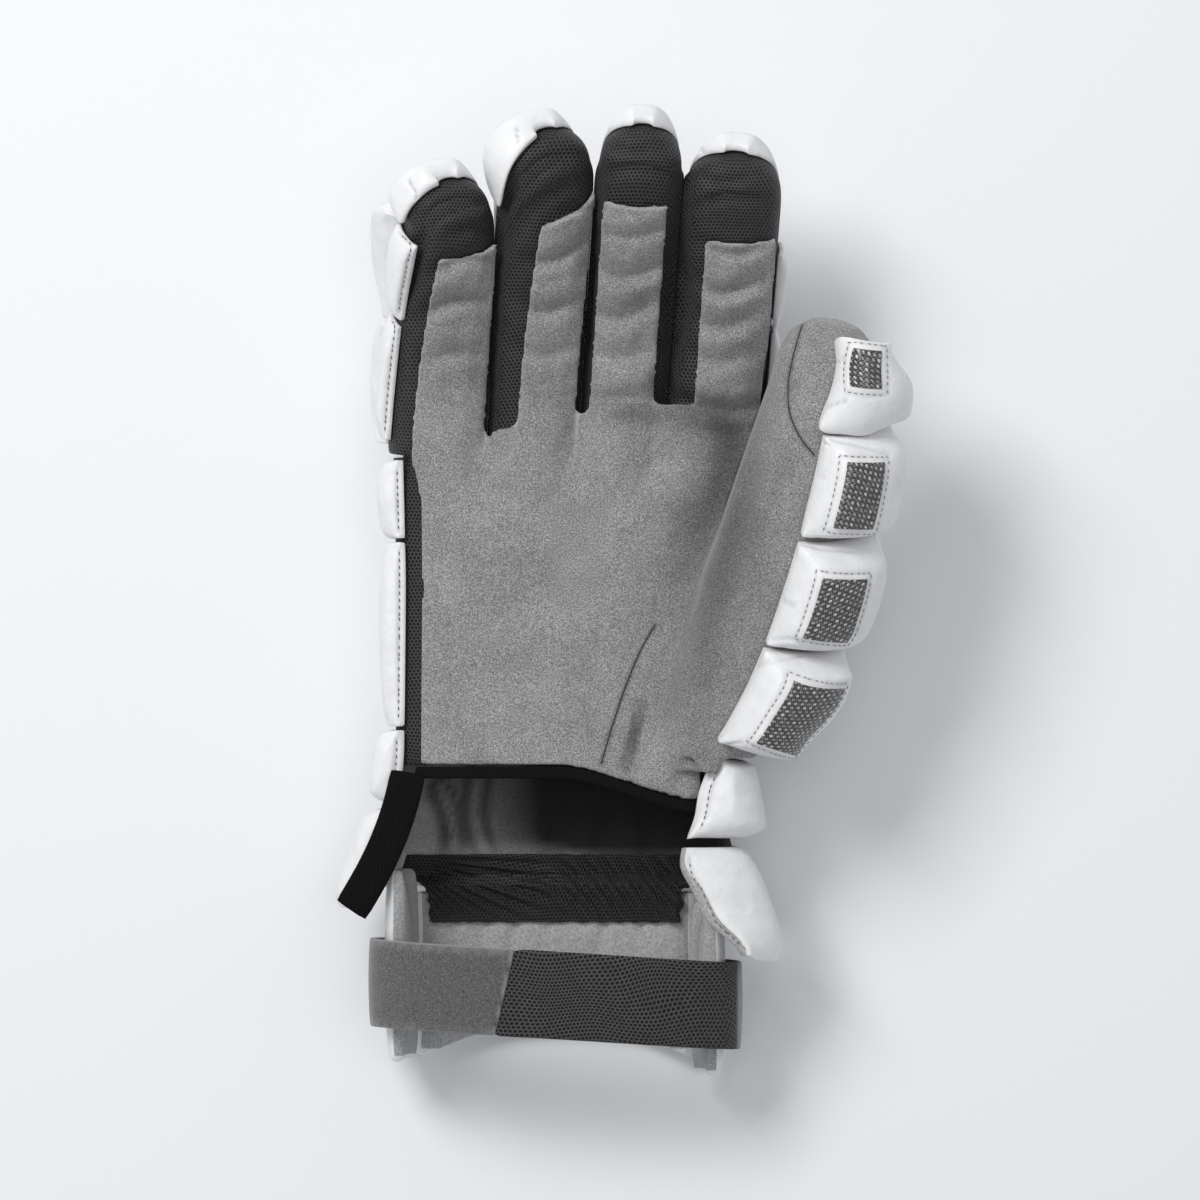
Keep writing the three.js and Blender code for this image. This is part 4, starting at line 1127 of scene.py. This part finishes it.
inserts = {}
for number in (1, 2, 3, 4):
    name = f"thumb_insert_{number}"
    insert = subdivide(copy_of(f"woven_{name}", name, crease=0.8), 2)
    points = points_of(insert)
    centre, axes = flat_axes(points)
    flat = ((points - centre) @ axes[:2].T) / MM
    layer = insert.data.uv_layers.new(name="UVMap")
    corners = np.empty(len(insert.data.loops), np.int32)
    insert.data.loops.foreach_get("vertex_index", corners)
    layer.data.foreach_set("uv", flat[corners].astype(np.float32).ravel())
    nudge(insert, NUDGES.get(name, []))
    lay_on(insert, tree_of(pads[f"thumb_pad_{number}"]), Vector(axes[2]))
    inserts[number] = wear(insert, woven, [name])


# %% [markdown]
# Stitches are short threads in rows. One row is a line of points on a surface, found by dropping
# points on it from above, and each stitch is a small stretched ball that lies along the row.

# %% Stitches and threads
STITCH = (1.5 * MM, 0.32 * MM)
STITCH_PITCH = 2.3 * MM
THREAD_RADIUS, THREAD_SUNK = 0.22 * MM, -0.02 * MM
LONGEST_STEP = 4 * MM


def dropped(line, tree, lift=0.0):
    """Points on a surface under points seen from above, with their normals."""
    found = []
    for x, y in line:
        place, normal = from_above(tree, x, y)
        if place is not None:
            found.append((place + normal * lift, normal))
    return found


def stitch_row(work, found):
    """Adds a row of stitches along points on a surface."""
    places = np.array([place for place, _ in found])
    along = lengths_along(places)
    for wanted in np.arange(STITCH_PITCH / 2, along[-1] - STITCH_PITCH / 2, STITCH_PITCH):
        index = min(int(np.searchsorted(along, wanted)), len(found) - 1)
        ahead = Vector(places[index]) - Vector(places[index - 1])
        if not 1e-7 < ahead.length < LONGEST_STEP:
            continue
        ahead.normalize()
        side = found[index][1].cross(ahead).normalized()
        up = ahead.cross(side)
        turn = Matrix((ahead, side, up)).transposed().to_4x4()
        size = Matrix.Diagonal((STITCH[0] / 2, STITCH[1] / 2, STITCH[1] / 2, 1))
        where = Matrix.Translation(found[index][0]) @ turn @ size
        bmesh.ops.create_icosphere(work, subdivisions=1, radius=1, matrix=where)


def thread_along(work, places, radius):
    """Adds a thin tube along points."""
    def frame_at(index):
        ahead = (places[min(index + 1, len(places) - 1)] - places[max(index - 1, 0)]).normalized()
        return Matrix.Translation(places[index]) @ ahead.to_track_quat("Z", "Y").to_matrix().to_4x4()

    ring = bmesh.ops.create_circle(
        work, segments=6, radius=radius, matrix=frame_at(0), cap_ends=True)["verts"]
    edges = list(dict.fromkeys(edge for vert in ring for edge in vert.link_edges))
    for index in range(1, len(places)):
        made = bmesh.ops.extrude_edge_only(work, edges=edges)["geom"]
        verts = [item for item in made if isinstance(item, bmesh.types.BMVert)]
        edges = [item for item in made if isinstance(item, bmesh.types.BMEdge)]
        bmesh.ops.transform(work, matrix=frame_at(index) @ frame_at(index - 1).inverted(), verts=verts)
    bmesh.ops.contextual_create(work, geom=edges)


def groove(piece, found, depth, width, seam):
    """Pulls a piece's surface in along points on it, and paints shade along the line for its material.
    """
    points, normals = points_of(piece), normals_of(piece)
    away = distance_to_line(points, np.array([place for place, _ in found]))[0]
    place_points(piece, points - normals * (depth * bell(away, width))[:, None])
    layer = piece.data.attributes["seam"].data
    now = np.empty(len(points), np.float32)
    layer.foreach_get("value", now)
    layer.foreach_set("value", np.maximum(now, seam * bell(away, width * 0.6)).astype(np.float32))


trees = {name: tree_of(pad) for name, pad in pads.items()}

# %% Seam threads of the suede
work = bmesh.new()
for pixels in SUEDE_SEAMS:
    found = dropped(smooth_line(pixels, 1.2 * MM), shell_tree, lift=THREAD_SUNK)
    thread_along(work, [place for place, _ in found], THREAD_RADIUS)
seam_threads = wear(finished("suede_seam_threads", work), thread_dark, [])
print("seam threads:", len(seam_threads.data.vertices), "vertices")

# %% [markdown]
# A frame of leather holds each insert. A shallow groove and a row of stitches run round it, a
# little outside the insert's outline.

# %% Stitched frames of the inserts
FRAME_WIDTH = 2.1 * MM
FRAME_SPACING = 0.7 * MM
# depth and width of the groove, and how dark the painted shade in it is
FRAME_GROOVE = (0.35 * MM, 0.8 * MM, 0.35)


def outline_of(points):
    """Convex outline of flat points."""
    ordered = sorted(map(tuple, points))

    def half(sequence):
        chain = []
        for point in sequence:
            while len(chain) > 1:
                (ax, ay), (bx, by) = chain[-2], chain[-1]
                if (bx - ax) * (point[1] - ay) - (by - ay) * (point[0] - ax) > 0:
                    break
                chain.pop()
            chain.append(point)
        return chain[:-1]

    return np.array(half(ordered) + half(reversed(ordered)))


def frame_line(insert, margin):
    """Line round an insert in its own plane, as points in space, and the way that is up."""
    points = points_of(insert)
    centre, axes = flat_axes(points)
    outline = outline_of((points - centre) @ axes[:2].T)
    half = np.abs(outline).max(0)
    outline = outline * (1 + margin / half)
    line = even_points(np.vstack([outline, outline[:1]]), FRAME_SPACING)
    return centre + line @ axes[:2], Vector(axes[2])


work = bmesh.new()
for number, insert in inserts.items():
    name = f"thumb_pad_{number}"
    line, up = frame_line(insert, FRAME_WIDTH)
    found = [on_surface(trees[name], point, up, 10 * MM) for point in line]
    groove(pads[name], found, *FRAME_GROOVE)
    stitch_row(work, found)
frame_stitches = wear(finished("frame_stitches", work), thread_grey, [])
print("frame stitches:", len(frame_stitches.data.polygons), "faces")

# %% [markdown]
# The leather puckers where a roll is sewn down. Short creases start at the seams and die out on
# the roll, and a few seams run right across a roll.

# %% Creases and short seams of the leather
CREASES = [
    # pad, pixels along the crease, depth and half width in millimetres, how dark the painted shade in
    # it is
    ("thumb_pad_1", [(818, 412), (830, 406), (842, 403)], 0.9, 0.7, 0.5),
    ("thumb_pad_1", [(832, 366), (840, 362)], 0.6, 0.6, 0.3),
    ("thumb_pad_2", [(830, 441), (858, 447), (886, 456)], 0.8, 0.8, 0.35),
    ("thumb_pad_2", [(812, 442), (826, 446)], 0.7, 0.7, 0.4),
    ("thumb_pad_2", [(806, 470), (816, 474), (824, 482)], 0.5, 0.9, 0.2),
    ("thumb_pad_3", [(800, 545), (822, 549), (850, 552)], 0.7, 0.9, 0.25),
    ("thumb_pad_3", [(780, 600), (792, 606)], 0.6, 0.8, 0.25),
    ("thumb_pad_3", [(770, 640), (786, 638), (800, 644)], 0.6, 0.9, 0.2),
    ("thumb_pad_4", [(750, 668), (772, 660), (800, 655)], 0.6, 0.9, 0.2),
    ("thumb_pad_4", [(722, 745), (740, 742)], 0.6, 0.8, 0.3),
    ("cuff_back", [(446, 900), (452, 930), (448, 962)], 0.9, 1.3, 0.0),
    ("cuff_back", [(478, 905), (484, 935), (480, 962)], 1.1, 1.2, 0.0),
    ("cuff_back", [(520, 902), (514, 930), (508, 962)], 1.1, 1.5, 0.0),
    ("cuff_back", [(552, 904), (546, 935), (538, 962)], 0.9, 1.2, 0.0),
    ("cuff_back", [(610, 900), (604, 930), (596, 962)], 1.2, 1.6, 0.0),
    ("cuff_back", [(650, 900), (640, 930), (634, 962)], 1.0, 1.3, 0.0),
    ("wrist_thumb", [(742, 790), (756, 786), (768, 790)], 0.4, 1.2, 0.1),
    ("flare_thumb", [(700, 905), (722, 900), (745, 906)], 0.5, 1.3, 0.1),
    ("flare_pinky", [(350, 830), (356, 860), (350, 890)], 0.5, 1.3, 0.1),
    ("roll_pinky_tip", [(410, 184), (416, 192), (418, 202)], 0.6, 0.6, 0.6),
    ("roll_ring_tip", [(518, 130), (517, 138), (519, 146)], 0.6, 0.6, 0.6),
    ("roll_index_tip", [(698, 143), (700, 150), (703, 157)], 0.6, 0.6, 0.6),
]
for name, pixels, depth, width, dark in CREASES:
    groove(pads[name], dropped(smooth_line(pixels), trees[name]), depth * MM, width * MM, dark)


# %% [markdown]
# The flat pads down the little-finger edge, the wrist pads and the flares are stitched along the
# edge that faces the palm. The row follows the pad's own edge, found slice by slice.

# %% Stitched edges
# depth and width of the groove, and how dark the painted shade in it is
EDGE_GROOVE = (0.45 * MM, 0.9 * MM, 0.4)
SLICE_STEP, SLICE_REACH = 0.8 * MM, 1.2 * MM
EDGE_ROWS = [
    # pad, side that is stitched, inset in millimetres
    ("pinky_side_tip", 1, 2.4), ("pinky_side_base", 1, 2.4), ("hand_side_upper", 1, 2.2),
    ("hand_side_lower", 1, 2.2), ("wrist_side", 1, 2.6), ("flare_pinky", 1, 3.0),
    ("wrist_thumb", -1, 3.6), ("flare_thumb", -1, 3.4),
]


def edge_line(pad, side, inset):
    """Line seen from above, inside the left or right edge of a pad."""
    points = points_of(pad)
    low, high = points[:, 1].min() + inset, points[:, 1].max() - inset
    line = []
    for y in np.arange(low, high, SLICE_STEP):
        near = points[np.abs(points[:, 1] - y) < SLICE_REACH]
        if len(near):
            line.append(((near[:, 0] * side).max() * side - side * inset, y))
    line = np.array(line)
    line[1:-1, 0] = (line[:-2, 0] + line[1:-1, 0] + line[2:, 0]) / 3
    return line


work = bmesh.new()
for name, side, inset in EDGE_ROWS:
    found = dropped(edge_line(pads[name], side, inset * MM), trees[name])
    groove(pads[name], found, *EDGE_GROOVE)
    stitch_row(work, found)
edge_stitches = wear(finished("edge_stitches", work), thread_dark, [])
print("edge stitches:", len(edge_stitches.data.polygons), "faces")
